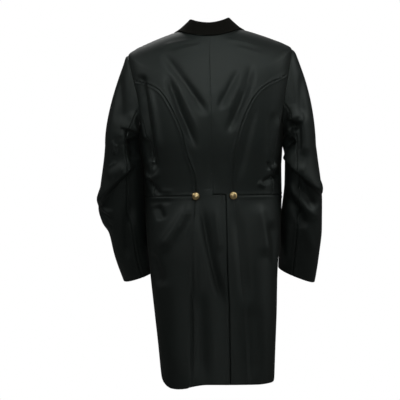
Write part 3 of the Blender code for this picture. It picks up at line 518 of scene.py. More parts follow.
def beside_line(line: Sequence[float], place: Array) -> tuple[Array, Array]:
    """Where points lie beside a bowed line, as seen along Y.

    Args:
        line: X and Z of its two ends, and how far it bows to its left.
        place: The points.

    Returns:
        Each point's distance from the line, positive on its left, and its share along it.
    """
    x, z = place[..., 0], place[..., 2]
    start, end, bow = np.array(line[:2]), np.array(line[2:4]), line[4]
    left = np.array([start[1] - end[1], end[0] - start[0]]) / np.hypot(*(end - start))
    steps = np.linspace(0, 1, 13 if bow else 2)
    route = [start + (end - start) * t + left * bow * 4 * t * (1 - t) for t in steps]
    aside, along = np.full(x.shape, np.inf), np.zeros(x.shape)
    for i, (a, b) in enumerate(zip(route, route[1:])):
        way = b - a
        share = np.clip(((x - a[0]) * way[0] + (z - a[1]) * way[1]) / (way @ way), 0, 1)
        gap = np.hypot(x - a[0] - way[0] * share, z - a[1] - way[1] * share)
        gap = np.copysign(gap, way[0] * (z - a[1]) - way[1] * (x - a[0]))
        closer = np.abs(gap) < np.abs(aside)
        aside = np.where(closer, gap, aside)
        along = np.where(closer, (i + share) / (len(route) - 1), along)
    return aside, along


def crease_depth(rows: Sequence[Sequence[float]], place: Array) -> Array:
    """How far creases push the cloth out.

    Args:
        rows: Creases, as CREASE_COLUMNS names them.
        place: Points of the form.

    Returns:
        The push at each point, in metres.
    """
    depth = np.zeros(place.shape[:-1])
    for row in rows:
        crease = dict(zip(CREASE_COLUMNS, row))
        aside, along = beside_line([crease[name] for name in CREASE_COLUMNS[:5]], place)
        near_end = np.minimum(along, 1 - along)
        ends = 1 - crease["fade"] * (1 - smooth_step(near_end, 0.0, FADE_SHARE))
        depth += crease["depth"] * ends * np.exp(-((aside / crease["width"]) ** 2))
    return depth


def fold_height(rows: Sequence[Sequence[float]], place: Array) -> Array:
    """How far folds that hang over their lines push the cloth out.

    Args:
        rows: Folds, as FOLD_COLUMNS names them.
        place: Points of the form.

    Returns:
        The push at each point, in metres.
    """
    height = np.zeros(place.shape[:-1])
    for row in rows:
        fold = dict(zip(FOLD_COLUMNS, row))
        aside, along = beside_line([fold[name] for name in FOLD_COLUMNS[:5]], place)
        ends = smooth_step(np.minimum(along, 1 - along), 0.0, FADE_SHARE)
        over = smooth_step(aside, -fold["edge"] / 2, fold["edge"] / 2)
        height += fold["height"] * ends * over * np.exp(-((aside / fold["reach"]) ** 2))
    return height


def surface_normal(
    surface: Callable[[Array, Array], Array], a: Array, b: Array, step_a: float, step_b: float
) -> Array:
    """Unit normals of surface(a, b), by differences of the given steps."""
    along_a = surface(a + step_a, b) - surface(a - step_a, b)
    along_b = surface(a, b + step_b) - surface(a, b - step_b)
    return unit(np.cross(along_a, along_b))


RING = curves_of(RING_COLUMNS, RINGS)
SIDE_FILL = curves_of(RIGHT_FILL_COLUMNS, RIGHT_FILL)["push"]
PLEAT = curves_of(PLEAT_COLUMNS, PLEATS)
VENT = curves_of(VENT_COLUMNS, VENT_EDGE)["from_middle"]
TAIL = curves_of(TAIL_EDGE_COLUMNS, TAIL_EDGE)
HEM_HEIGHT = curves_of(HEM_COLUMNS, HEM_LINE)["height"]
OPENING = curves_of(FRONT_EDGE_COLUMNS, FRONT_EDGE)["from_middle"]
POINT_DROP = curves_of(POINT_COLUMNS, FRONT_POINT)["drop"]
LAPEL = curves_of(LAPEL_COLUMNS, LAPEL_EDGE)["from_middle"]
COLLAR_SHAPE = curves_of(COLLAR_COLUMNS, COLLAR_STEPS)
ARM = {side: curves_of(SLEEVE_COLUMNS, rows) for side, rows in SLEEVES.items()}
CUFF = {side: dict(zip(CUFF_COLUMNS, row)) for side, row in CUFFS.items()}


def body_base(angle: Array, level: Array) -> Array:
    """The torso form's points before creases."""
    ring = {name: curve(level) for name, curve in RING.items()}
    square = ring["square"]
    across = (1 + square) * np.sin(angle) + square * np.sin(3 * angle)
    along = (1 + square) * np.cos(angle) - square * np.cos(3 * angle)
    end_y = np.where(along >= 0, ring["back_y"], ring["front_y"])
    end_z = np.where(along >= 0, level, ring["front_z"])
    fill = SIDE_FILL(level) * np.maximum(across, 0.0) ** 4
    x = ring["sway"] + ring["half_width"] * across + fill
    y = ring["side_y"] + (end_y - ring["side_y"]) * np.abs(along)
    z = ring["side_z"] + (end_z - ring["side_z"]) * along * along
    lean = LEAN * (1 - LEAN_LOST_BELOW * smooth_step(-level, -SHOULDER, -WAIST))
    return np.stack([x, y, z + lean * x], axis=-1)


def body_frame(angle: Array, level: Array) -> tuple[Array, Array]:
    """The torso form's creased points and their outward normals."""
    base = body_base(angle, level)
    normal = surface_normal(body_base, angle, level, ANGLE_STEP, LEVEL_STEP)
    behind = smooth_step(-normal[..., 1], *FACING)
    ahead = smooth_step(normal[..., 1], *FACING)
    push = behind * crease_depth(BACK_CREASES, base) + ahead * crease_depth(FRONT_CREASES, base)
    return base + normal * push[..., None], normal


def angle_at(distance: Array, level: Array, front: bool = False) -> Array:
    """The angle where a ring is this far from its own middle.

    Args:
        distance: Metres from the ring's middle, negative on the left.
        level: The ring's level.
        front: Whether the place is on the front of the ring.

    Returns:
        The angle.
    """
    distance, level = np.broadcast_arrays(np.asarray(distance, float), np.asarray(level, float))
    square = RING["square"](level)
    share = np.minimum(np.abs(distance) / RING["half_width"](level), 1.0)
    low, high = np.zeros(share.shape), np.full(share.shape, math.pi / 2)
    for _ in range(40):
        middle = (low + high) / 2
        short = (1 + square) * np.sin(middle) + square * np.sin(3 * middle) < share
        low, high = np.where(short, middle, low), np.where(short, high, middle)
    return np.copysign(math.pi - low if front else low, distance)


def metres_per_radian(angle: Array, level: Array) -> Array:
    """How fast a point moves along its ring."""
    step = body_base(angle + ANGLE_STEP, level) - body_base(angle - ANGLE_STEP, level)
    return np.linalg.norm(step, axis=-1) / (2 * ANGLE_STEP)


def armhole_angle(side: Side, level: Array, front: bool) -> Array:
    """Where the armhole's back or front edge crosses a ring."""
    share = np.clip((level - ARMHOLE_MIDDLE) / ARMHOLE_REACH, -1.0, 1.0)
    bulge = np.sqrt(1 - share * share)
    if front:
        return math.pi / 2 + ARMHOLE_FRONT * bulge
    return math.pi / 2 - ARMHOLE_BACK[side.word] * bulge


def princess_curve(side: Side) -> Curve:
    """The curved seam's angles over its levels, from the waist up to the armhole."""
    column = PRINCESS_COLUMNS.index(side.word)
    rows = [(row[0], math.radians(row[column])) for row in PRINCESS_SEAMS]
    top = float(armhole_angle(side, np.array(PRINCESS_TOP), False))
    foot = float(angle_at(PLEAT[side.word](WAIST), WAIST))
    return Curve([*rows, (PRINCESS_TOP, top), (WAIST, foot)])


def side_seam_curve(side: Side) -> Curve:
    """The side seam's angles over its levels, from the waist up to the armhole."""
    top = float(armhole_angle(side, np.array(SIDE_TOP), False))
    rows = [(row["level"], math.radians(row["degrees"])) for row in SIDE_SEAM_ROWS]
    return Curve([*rows, (SIDE_TOP, top)])


PRINCESS = {side: princess_curve(side) for side in Side}
SIDE_SEAM_ANGLE = {side: side_seam_curve(side) for side in Side}


def back_edge(side: Side, level: Array) -> Array:
    """The back panel's outer edge: pleat, curved seam, armhole and shoulder seam."""
    return np.select(
        [level <= WAIST, level <= PRINCESS_TOP, level <= SHOULDER],
        [
            angle_at(PLEAT[side.word](level), level),
            PRINCESS[side](level),
            armhole_angle(side, level, False),
        ],
        math.pi / 2,
    )


def side_edge(side: Side, level: Array) -> Array:
    """The seam between side back and front, and above it the armhole's back edge."""
    above = armhole_angle(side, level, False)
    return np.where(level <= SIDE_TOP, SIDE_SEAM_ANGLE[side](level), above)


def front_edge(level: Array) -> Array:
    """The roll line and, below the break, the open front edge."""
    return angle_at(OPENING(level), level, front=True)


def arched(angle: Array, level: Array) -> Array:
    """Levels raised where the tops of the curved seams arch up."""
    arch = np.where(angle < 0, PRINCESS_ARCH["left"], PRINCESS_ARCH["right"])
    start, end = ARCH_BETWEEN
    share = np.clip((np.degrees(np.abs(angle)) - start) / (end - start), 0.0, 1.0)
    up = np.exp(-(((level - PRINCESS_TOP) / ARCH_HEIGHT) ** 2))
    return level + arch * np.sin(math.pi * share) ** 2 * up


def plain(edge: Callable[[Array], Array]) -> Edge:
    """An edge as a function of level that gives its angle and level."""
    return lambda level: (edge(level) + 0.0 * level, level)


def inset(edge: Callable[[Array], Array], towards: int, gap: float = SEAM_GAP) -> Edge:
    """Moves an edge half a gap square to itself.

    Args:
        edge: The edge's angle at each level.
        towards: 1 away from the centre back, -1 towards it.
        gap: The whole gap at the seam.

    Returns:
        The moved edge.
    """

    def moved(level: Array) -> Places:
        angle = edge(level) + 0.0 * level
        rate = metres_per_radian(angle, level)
        rise = 0.0004
        slant = rate * (edge(level + rise) - edge(level - rise)) / (2 * rise)
        shift = towards * gap / 2 / np.hypot(1, slant)
        return angle + shift / rate, level - shift * slant

    return moved


def tight_shares(count: int) -> Array:
    """Shares from 0 to 1, closer together at both ends, where the cloth rolls into a seam."""
    ends = np.array(TIGHT_ENDS)
    return np.concatenate([ends, np.linspace(TIGHT_FROM, 1 - TIGHT_FROM, count), 1 - ends[::-1]])


def levels_between(low: float, high: float, *dense: float) -> Array:
    """Levels a pitch apart, with closer ones under each dense level.

    Args:
        low: The lowest level.
        high: The highest level.
        dense: Levels where a seam runs nearly level.

    Returns:
        Rising levels that hold both ends.
    """
    levels = set(np.linspace(low, high, max(2, round((high - low) / PITCH)) + 1))
    for top in dense:
        levels |= {top - DENSE_START * DENSE_GROWTH**i for i in range(DENSE_ROWS)} | {top}
    levels |= {low + end for end in END_ROWS} | {high - end for end in END_ROWS}
    kept = [low]
    for level in sorted(levels):
        if level - kept[-1] > LEAST_STEP and level < high - LEAST_STEP:
            kept.append(level)
    return np.array([*kept, high])


def armhole_rows(low: float, high: float) -> Array:
    """Levels between two on the armhole, closer where its edge runs nearly level."""
    turn = np.linspace(0, math.pi, ARMHOLE_ROWS)
    levels = ARMHOLE_MIDDLE - ARMHOLE_REACH * np.cos(turn)
    inside = levels[(levels > low + ARMHOLE_LEAST) & (levels < high - ARMHOLE_LEAST)]
    return np.concatenate([[low], inside, [high]])


@dataclass
class Patch:
    """A grid of points on a piece's outer side, and the vectors through its wall.

    Edges holds each point's EdgeKind value. Only those on the piece's rim count.
    """

    points: Array
    walls: Array
    edges: Array

    def cloth_map(self) -> Array:
        """Lengths along the cloth, across each row and along the first column."""
        across = np.zeros(self.points.shape[:2])
        steps = np.linalg.norm(np.diff(self.points, axis=1), axis=-1)
        across[:, 1:] = np.cumsum(steps, axis=1)
        down = np.zeros(self.points.shape[:2])
        steps = np.linalg.norm(np.diff(self.points[:, 0], axis=0), axis=-1)
        down[1:] = np.cumsum(steps)[:, None]
        return np.stack([across, down], axis=-1)

    def corners(self) -> Array:
        """Rows of four grid indices for each face, in order so that faces turn outwards."""
        rows, columns = self.points.shape[:2]
        index = np.arange(rows * columns).reshape(rows, columns)
        quads = np.stack(
            [index[:-1, :-1], index[:-1, 1:], index[1:, 1:], index[1:, :-1]], axis=-1
        ).reshape(-1, 4)
        flat = self.points.reshape(-1, 3)
        first, second, third, fourth = (flat[quads[:, i]] for i in range(4))
        facing = np.cross(third - first, fourth - second)
        if (facing * self.walls.reshape(-1, 3)[quads[:, 0]]).sum() > 0:
            quads = quads[:, ::-1]
        return quads


@dataclass(frozen=True)
class SheetCut:
    """The width and length that a panel was cut to, in metres, and its area in square metres."""

    width: float
    length: float
    area: float


@dataclass
class ClothShell:
    """Joins patches into one closed piece of cloth with rounded edges and rolled seams."""

    name: str
    patches: list[Patch]
    roll_depth: float = 0.0005
    roll_width: float = 0.0018
    pucker_depth: float = 0.00045
    pucker_width: float = 0.0075
    pucker_length: float = 0.016
    welt_height: float = 0.0011
    welt_at: float = 0.0042
    welt_width: float = 0.0024
    edge_bulge: float = 0.00035
    pressed_share: float = 0.22
    pressed_past: float = 0.0026
    set_in_width: float = 0.008
    rim_shares: tuple[float, float] = (0.22, 0.78)
    merge_within: float = 2e-5
    far_off: float = 0.05

    def build(self, material: bpy.types.Material) -> bpy.types.Object:
        """Makes the mesh.

        Args:
            material: The cloth's finish.

        Returns:
            The piece, at the origin.
        """
        points, walls, edges, faces, maps = self._joined()
        rim = self._rim(faces)
        rolled, seam = self._rolled(points, walls, edges, rim)
        verts, all_faces, all_maps = self._closed(rolled, walls, edges, faces, maps, rim)
        mesh = bpy.data.meshes.new(self.name)
        mesh.from_pydata(verts.tolist(), [], all_faces)
        layer = mesh.uv_layers.new(name="cloth")
        layer.data.foreach_set("uv", np.array(all_maps, dtype=np.float32).ravel())
        distance = mesh.attributes.new("seam", "FLOAT", "POINT")
        repeats = len(verts) // len(points) + 1
        values = np.tile(seam, repeats)[: 2 * len(points)]
        values = np.concatenate([values, np.zeros(len(verts) - 2 * len(points))])
        distance.data.foreach_set("value", values.astype(np.float32))
        mesh.materials.append(material)
        mesh.shade_smooth()
        mesh.validate()
        piece = bpy.data.objects.new(self.name, mesh)
        bpy.context.scene.collection.objects.link(piece)
        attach(piece, BODY)
        LOG.info("%s: %d faces", self.name, len(mesh.polygons))
        return piece

    def sew(
        self, material: bpy.types.Material, node: str
    ) -> bpy.types.Object:
        """Makes the piece that stands for a solid, and hides that solid."""
        piece = self.build(material)
        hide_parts(node)
        return piece

    def _joined(self) -> tuple[Array, Array, Array, list[list[int]], list[list[Array]]]:
        """Merges the patches' shared points and lists their faces and cloth maps."""
        points = np.concatenate([patch.points.reshape(-1, 3) for patch in self.patches])
        walls = np.concatenate([patch.walls.reshape(-1, 3) for patch in self.patches])
        edges = np.concatenate([patch.edges.ravel() for patch in self.patches])
        keys = np.round(points / self.merge_within).astype(np.int64)
        _, first, place = np.unique(keys, axis=0, return_index=True, return_inverse=True)
        place = place.ravel()
        marks = np.zeros(len(first), dtype=int)
        np.maximum.at(marks, place, edges)
        faces, maps, start = [], [], 0
        for patch in self.patches:
            cloth = patch.cloth_map().reshape(-1, 2)
            for quad in patch.corners():
                ring = dict.fromkeys(place[quad + start].tolist())
                if len(ring) > 2:
                    spots = {place[i + start]: cloth[i] for i in quad[::-1]}
                    faces.append(list(ring))
                    maps.append([spots[i] for i in ring])
            start += patch.points.shape[0] * patch.points.shape[1]
        return points[first], walls[first], marks, faces, maps

    @staticmethod
    def _rim(faces: list[list[int]]) -> list[tuple[int, int]]:
        """The rim's edges, each in the order of its face."""
        edges = {(a, b) for face in faces for a, b in zip(face, face[1:] + face[:1])}
        return [edge for edge in edges if edge[::-1] not in edges]

    def _nearest(self, points: Array, feet: Array) -> tuple[Array, Array]:
        """Each point's distance to the nearest foot, and that foot's number."""
        if not len(feet):
            return np.full(len(points), self.far_off), np.zeros(len(points), dtype=int)
        tree = KDTree(len(feet))
        for i, foot in enumerate(feet):
            tree.insert(foot, i)
        tree.balance()
        found = [tree.find(point) for point in points]
        return np.array([hit[2] for hit in found]), np.array([hit[1] for hit in found])

    def _rolled(
        self, points: Array, walls: Array, edges: Array, rim: list[tuple[int, int]]
    ) -> tuple[Array, Array]:
        """Rolls the cloth into its seams and puckers it beside them.

        Args:
            points: The outer side's points.
            walls: The vectors through the wall.
            edges: Each point's kind of edge.
            rim: The rim's edges.

        Returns:
            The moved points and each one's distance to the nearest seam.
        """
        on_rim = np.array(sorted({i for edge in rim for i in edge}))
        sewn = (edges > EdgeKind.FREE.value) & (edges < EdgeKind.SET_IN.value)
        rolled = on_rim[sewn[on_rim]]
        set_in = on_rim[edges[on_rim] == EdgeKind.SET_IN.value]
        distance, number = self._nearest(points, points[rolled])
        foot = points[rolled][number] if len(rolled) else points
        pressed = edges[rolled][number] == EdgeKind.PRESSED.value if len(rolled) else False
        from_set_in, _ = self._nearest(points, points[set_in])
        phase = (foot[:, 2] + 0.7 * foot[:, 0] + 0.3 * foot[:, 1]) * math.tau / self.pucker_length
        wave = np.sin(phase + 1.3 * np.sin(phase * 0.31)) * (0.6 + 0.4 * np.sin(phase * 0.17))
        inwards = self.roll_depth * np.exp(-((distance / self.roll_width) ** 2))
        inwards += self.pucker_depth * wave * np.exp(-((distance / self.pucker_width) ** 2))
        beside = (distance - self.welt_at) / self.welt_width
        inwards -= self.welt_height * np.exp(-(beside**2))
        inwards *= smooth_step(from_set_in, 0.0, self.set_in_width)
        inwards *= np.where(pressed, self.pressed_share, 1.0)
        seam = np.minimum(distance + np.where(pressed, self.pressed_past, 0.0), from_set_in)
        return points + unit(walls) * inwards[:, None], seam

    def _closed(
        self,
        points: Array,
        walls: Array,
        edges: Array,
        faces: list[list[int]],
        maps: list[list[Array]],
        rim: list[tuple[int, int]],
    ) -> tuple[Array, list[list[int]], list[Array]]:
        """Adds the inner side and the rounded edge.

        Args:
            points: The outer side's points.
            walls: The vectors through the wall.
            edges: Each point's kind of edge.
            faces: The outer side's faces.
            maps: The cloth map at each face's corners.
            rim: The rim's edges.

        Returns:
            All points, all faces and the cloth map of all corners in a row.
        """
        count = len(points)
        out = np.zeros(points.shape)
        for a, b in rim:
            way = np.cross(points[b] - points[a], -walls[a])
            out[a] += way
            out[b] += way
        out = unit(out) * np.where(edges > 0, 0.0, self.edge_bulge)[:, None]
        order = {i: place for place, i in enumerate(sorted({i for edge in rim for i in edge}))}
        ids = np.array(sorted(order))
        edge_points = [points[ids] + walls[ids] * share + out[ids] for share in self.rim_shares]
        verts = np.concatenate([points, points + walls, *edge_points])
        all_faces = [*faces, *([i + count for i in face[::-1]] for face in faces)]
        corners = [spot for face in maps for spot in face]
        corners += [spot for face in maps for spot in face[::-1]]
        spots = {i: spot for face, row in zip(faces, maps) for i, spot in zip(face, row)}
        levels = [
            lambda i: i,
            lambda i: 2 * count + order[i],
            lambda i: 2 * count + len(ids) + order[i],
            lambda i: i + count,
        ]
        for a, b in rim:
            for upper, lower in zip(levels, levels[1:]):
                all_faces.append([upper(b), upper(a), lower(a), lower(b)])
                corners += [spots[b], spots[a], spots[a], spots[b]]
        return verts, all_faces, corners


@dataclass
class CoatBody:
    """The torso's panels: centre backs with their tails, side backs, foreparts and skirts."""

    wool: bpy.types.Material

    def place(self, angle: Array, level: Array, lift: Array | float = 0.0) -> tuple[Array, Array]:
        """Points of the form lifted along their normals, and the vectors through the wall."""
        point, normal = body_frame(angle, arched(angle, level))
        return point + normal * (np.zeros(angle.shape) + lift)[..., None], -normal * CLOTH

    def patch(
        self,
        side: Side,
        grid: Places,
        edges: Array | int = 0,
        lift: Callable[[Array, Array], Array] | None = None,
    ) -> Patch:
        """A patch from angles and levels counted on a panel's own side.

        Args:
            side: The coat's side.
            grid: Angles, positive on the panel's own side, and levels.
            edges: Each point's kind of edge.
            lift: How far each place stands off the form.

        Returns:
            The patch.
        """
        angle, level = np.broadcast_arrays(*grid)
        height = lift(angle, level) if lift else 0.0
        angle = angle * side.value
        points, walls = self.place(angle, level, height)
        return Patch(points, walls, np.zeros(angle.shape, dtype=int) + edges)

    @staticmethod
    def ruled(levels: Array, near: Edge, far: Edge, shares: Array) -> Places:
        """Angles and levels between two edges, row by row."""
        rows = levels[:, None]
        return mix(near(rows), far(rows), shares[None, :])

    @staticmethod
    def hanging(
        side: Side, near: Edge, far: Edge, shares: Array, top: float, rows: int = 110
    ) -> Places:
        """Angles and levels between two edges, from the waist down to the wavy hem."""
        hem = np.full(shares.shape, HEM)
        foot = side.value * mix(near(hem), far(hem), shares)[0]
        bottom = HEM_HEIGHT(body_base(foot, hem)[..., 0])
        down = np.concatenate([HANG_ENDS, np.linspace(HANG_FROM, 1, rows)])
        level = top + down[:, None] * (bottom - top)[None, :]
        return mix(near(level), far(level), shares[None, :])

    @staticmethod
    def edges(shape: tuple[int, ...], *kinds: tuple[tuple, EdgeKind]) -> Array:
        """Each point's kind of edge, from pairs of grid places and kinds."""
        marked = np.zeros(shape, dtype=int)
        for place, kind in kinds:
            marked[place] = kind.value
        return marked

    def sewn(
        self,
        side: Side,
        grid: Places,
        *kinds: tuple[tuple, EdgeKind],
        lift: Callable[[Array, Array], Array] | None = None,
    ) -> Patch:
        """A patch whose edges are marked by pairs of grid places and kinds."""
        return self.patch(side, grid, self.edges(grid[0].shape, *kinds), lift)

    def vent_lift(self, angle: Array, level: Array) -> Array:
        """How far the lapped tail stands off the form near and past the centre back."""
        past = -angle * metres_per_radian(np.zeros(level.shape), level)
        near = smooth_step(past, -VENT_RAMP, -0.001)
        edge = VENT_STAND * smooth_step(past, VENT(level) - VENT_EDGE_RISE, VENT(level))
        return (ON_TOP * near + edge) * smooth_step(-level, -WAIST - VENT_TOP_RISE, -WAIST)

    def vent_groove(self, angle: Array, level: Array) -> Array:
        """How far the tail under the lap sinks beside the lap's edge and over its top."""
        past = angle * metres_per_radian(np.zeros(level.shape), level) - VENT(level)
        beside = np.exp(-(((past - VENT_GROOVE_AT) / VENT_GROOVE_WIDTH) ** 2))
        beside *= smooth_step(-level, -WAIST - 0.004, -WAIST)
        over = np.exp(-(((level - WAIST - VENT_TOP_AT) / VENT_TOP_WIDTH) ** 2))
        over *= smooth_step(-past, -0.001, 0.002) * smooth_step(past + VENT(level), 0.0, 0.003)
        return -VENT_GROOVE * np.maximum(beside, over)

    def back(self, side: Side, cut: SheetCut) -> bpy.types.Object:
        """Centre back with its tail. The left one laps over the right below the waist."""
        near = inset(lambda level: 0.0 * level, 1, CENTRE_GAP)
        far = inset(lambda level: back_edge(side, level), -1)
        lift = self.vent_lift if side is Side.LEFT else self.vent_groove
        shares = tight_shares(BACK_COLUMNS)
        low = levels_between(WAIST, ARMPIT, WAIST + 0.008)
        middle = levels_between(ARMPIT, PRINCESS_TOP, PRINCESS_TOP)
        high = armhole_rows(PRINCESS_TOP, SHOULDER)
        levels = np.concatenate([low, middle[1:], high[1:], levels_between(SHOULDER, NECK)[1:]])
        grid = self.ruled(levels, near, far, shares)
        hole = slice(len(low) + len(middle) - 2, len(low) + len(middle) + len(high) - 2)
        top = self.sewn(
            side,
            grid,
            (NEAR_EDGE, EdgeKind.PRESSED),
            (FAR_EDGE, EdgeKind.ROLLED),
            (np.s_[hole, -1], EdgeKind.SET_IN),
            (HIGH_EDGE, EdgeKind.SET_IN),
            lift=lift,
        )
        tail = self.hanging(side, near, far, shares, WAIST)
        patches = [top, self.patch(side, tail, lift=lift)]
        if side is Side.LEFT:
            lap_far = plain(lambda level: angle_at(VENT(level), level))
            lap_shares = np.concatenate([np.linspace(0, 0.94, 22), [0.965, 0.985, 1.0]])
            angle, level = self.hanging(Side.RIGHT, near, lap_far, lap_shares, WAIST)
            own = self.hanging(side, near, near, np.zeros(1), WAIST)
            angle, level = -angle, level.copy()
            angle[:, 0], level[:, 0] = own[0][:, 0], own[1][:, 0]
            patches.append(self.patch(side, (angle, level), lift=lift))
        shell = ClothShell(f"centre_back_{side.word}", patches)
        return shell.sew(self.wool, f"back_{side.word}")

    def side_back(self, side: Side, cut: SheetCut) -> bpy.types.Object:
        """The panel between curved seam and side seam, above the waist."""
        near = inset(lambda level: back_edge(side, level), 1)
        far = inset(lambda level: side_edge(side, level), -1)
        low = levels_between(WAIST + SEAM_GAP / 2, ARMPIT)
        top = PRINCESS_TOP - SIDE_TOP_DROP
        middle = levels_between(ARMPIT, top, top)
        levels = np.concatenate([low, middle[1:]])
        grid = self.ruled(levels, near, far, tight_shares(SIDE_COLUMNS))
        patch = self.sewn(
            side,
            grid,
            *((place, EdgeKind.ROLLED) for place in (NEAR_EDGE, FAR_EDGE, LOW_EDGE, HIGH_EDGE)),
            (np.s_[levels >= SIDE_TOP, -1], EdgeKind.SET_IN),
        )
        shell = ClothShell(f"side_body_{side.word}", [patch])
        return shell.sew(
            self.wool, f"side_back_{side.word}"
        )

    def front(self, side: Side, cut: SheetCut) -> bpy.types.Object:
        """The forepart, from the side seam round under the armhole to the open front edge."""
        seam = inset(lambda level: side_edge(side, level), 1)
        under = plain(lambda level: math.pi / 2)
        edge = plain(front_edge)
        armhole = plain(
            lambda level: armhole_angle(side, level, True) + self.shoulder_gap(level)
        )
        hole_back = plain(lambda level: armhole_angle(side, level, False))
        low = levels_between(WAIST + SEAM_GAP / 2, ARMPIT)
        behind = np.linspace(0, 1, FRONT_COLUMNS_BEHIND + 1)
        ahead = np.linspace(0, 1, FRONT_COLUMNS_AHEAD + 1)
        low_behind = self.ruled(low, seam, under, behind)
        low_ahead = self.ruled(low, under, edge, ahead)
        at_waist = self.edges(low_ahead[0].shape, (LOW_EDGE, EdgeKind.ROLLED))
        at_waist[low_ahead[0] > math.radians(TAIL_EDGE[0][1])] = EdgeKind.FREE.value
        side_rows = armhole_rows(ARMPIT, SIDE_TOP)
        arm_rows = armhole_rows(ARMPIT, SHOULDER)
        arm_rows = np.concatenate([arm_rows, levels_between(SHOULDER, NECK)[1:]])
        beside = self.ruled(side_rows, seam, hole_back, behind)
        above = self.ruled(arm_rows, armhole, edge, ahead)
        patches = [
            self.sewn(side, low_behind, (NEAR_EDGE, EdgeKind.ROLLED), (LOW_EDGE, EdgeKind.ROLLED)),
            self.patch(side, low_ahead, at_waist),
            self.sewn(side, beside, (NEAR_EDGE, EdgeKind.ROLLED), (FAR_EDGE, EdgeKind.SET_IN)),
            self.sewn(
                side,
                above,
                (NEAR_EDGE, EdgeKind.SET_IN),
                (np.s_[arm_rows > SHOULDER + 0.0001, 0], EdgeKind.ROLLED),
                (HIGH_EDGE, EdgeKind.SET_IN),
            ),
            self.patch(side, self.front_point(ahead)),
        ]
        shell = ClothShell(f"forepart_{side.word}", patches)
        return shell.sew(self.wool, f"front_{side.word}")

    @staticmethod
    def shoulder_gap(level: Array) -> Array:
        """Half a seam gap at the shoulder seam, as an angle."""
        gap = SEAM_GAP / 2 / metres_per_radian(np.full(level.shape, math.pi / 2), level)
        return np.where(level < SHOULDER, 0.0, gap)

    @staticmethod
    def front_point(shares: Array) -> Places:
        """The pointed bottom of the forepart, below the waist."""
        kept = shares[shares > STRAP_END - 1e-6]
        top = WAIST + SEAM_GAP / 2
        level = top - np.linspace(0, 1, 14)[:, None] * POINT_DROP(kept)[None, :]
        return math.pi / 2 + (front_edge(level) - math.pi / 2) * kept[None, :], level

    def skirt(self, side: Side, cut: SheetCut) -> bpy.types.Object:
        """The side of the tail, from under the pleat round to the cutaway edge."""

        def pleat(level: Array) -> Array:
            """The pleat's angle at each level."""
            return angle_at(PLEAT[side.word](level), level)

        def lift(angle: Array, level: Array) -> Array:
            """How far the skirt lies under the pleat's edge."""
            past = (angle - pleat(level)) * metres_per_radian(pleat(level), level)
            return -ON_TOP * (1 - smooth_step(past, 0.0006, PLEAT_STEP_OUT))

        middle = plain(lambda level: 0.0)
        far = plain(lambda level: np.radians(TAIL[side.word](level)))
        top = WAIST - SEAM_GAP / 2
        tucked = np.linspace(UNDER_PLEAT[side.word], 1, 10)
        under = self.hanging(side, middle, plain(pleat), tucked, top)
        near_pleat, rest = np.linspace(0, 0.12, 9)[:-1], np.linspace(0.12, 0.985, 40)
        shares = np.concatenate([near_pleat, rest, [1.0]])
        outer = self.hanging(side, plain(pleat), far, shares, top)
        patches = [
            self.sewn(side, grid, (LOW_EDGE, EdgeKind.ROLLED), lift=lift) for grid in (under, outer)
        ]
        shell = ClothShell(f"tail_skirt_{side.word}", patches)
        return shell.sew(self.wool, f"skirt_{side.word}")


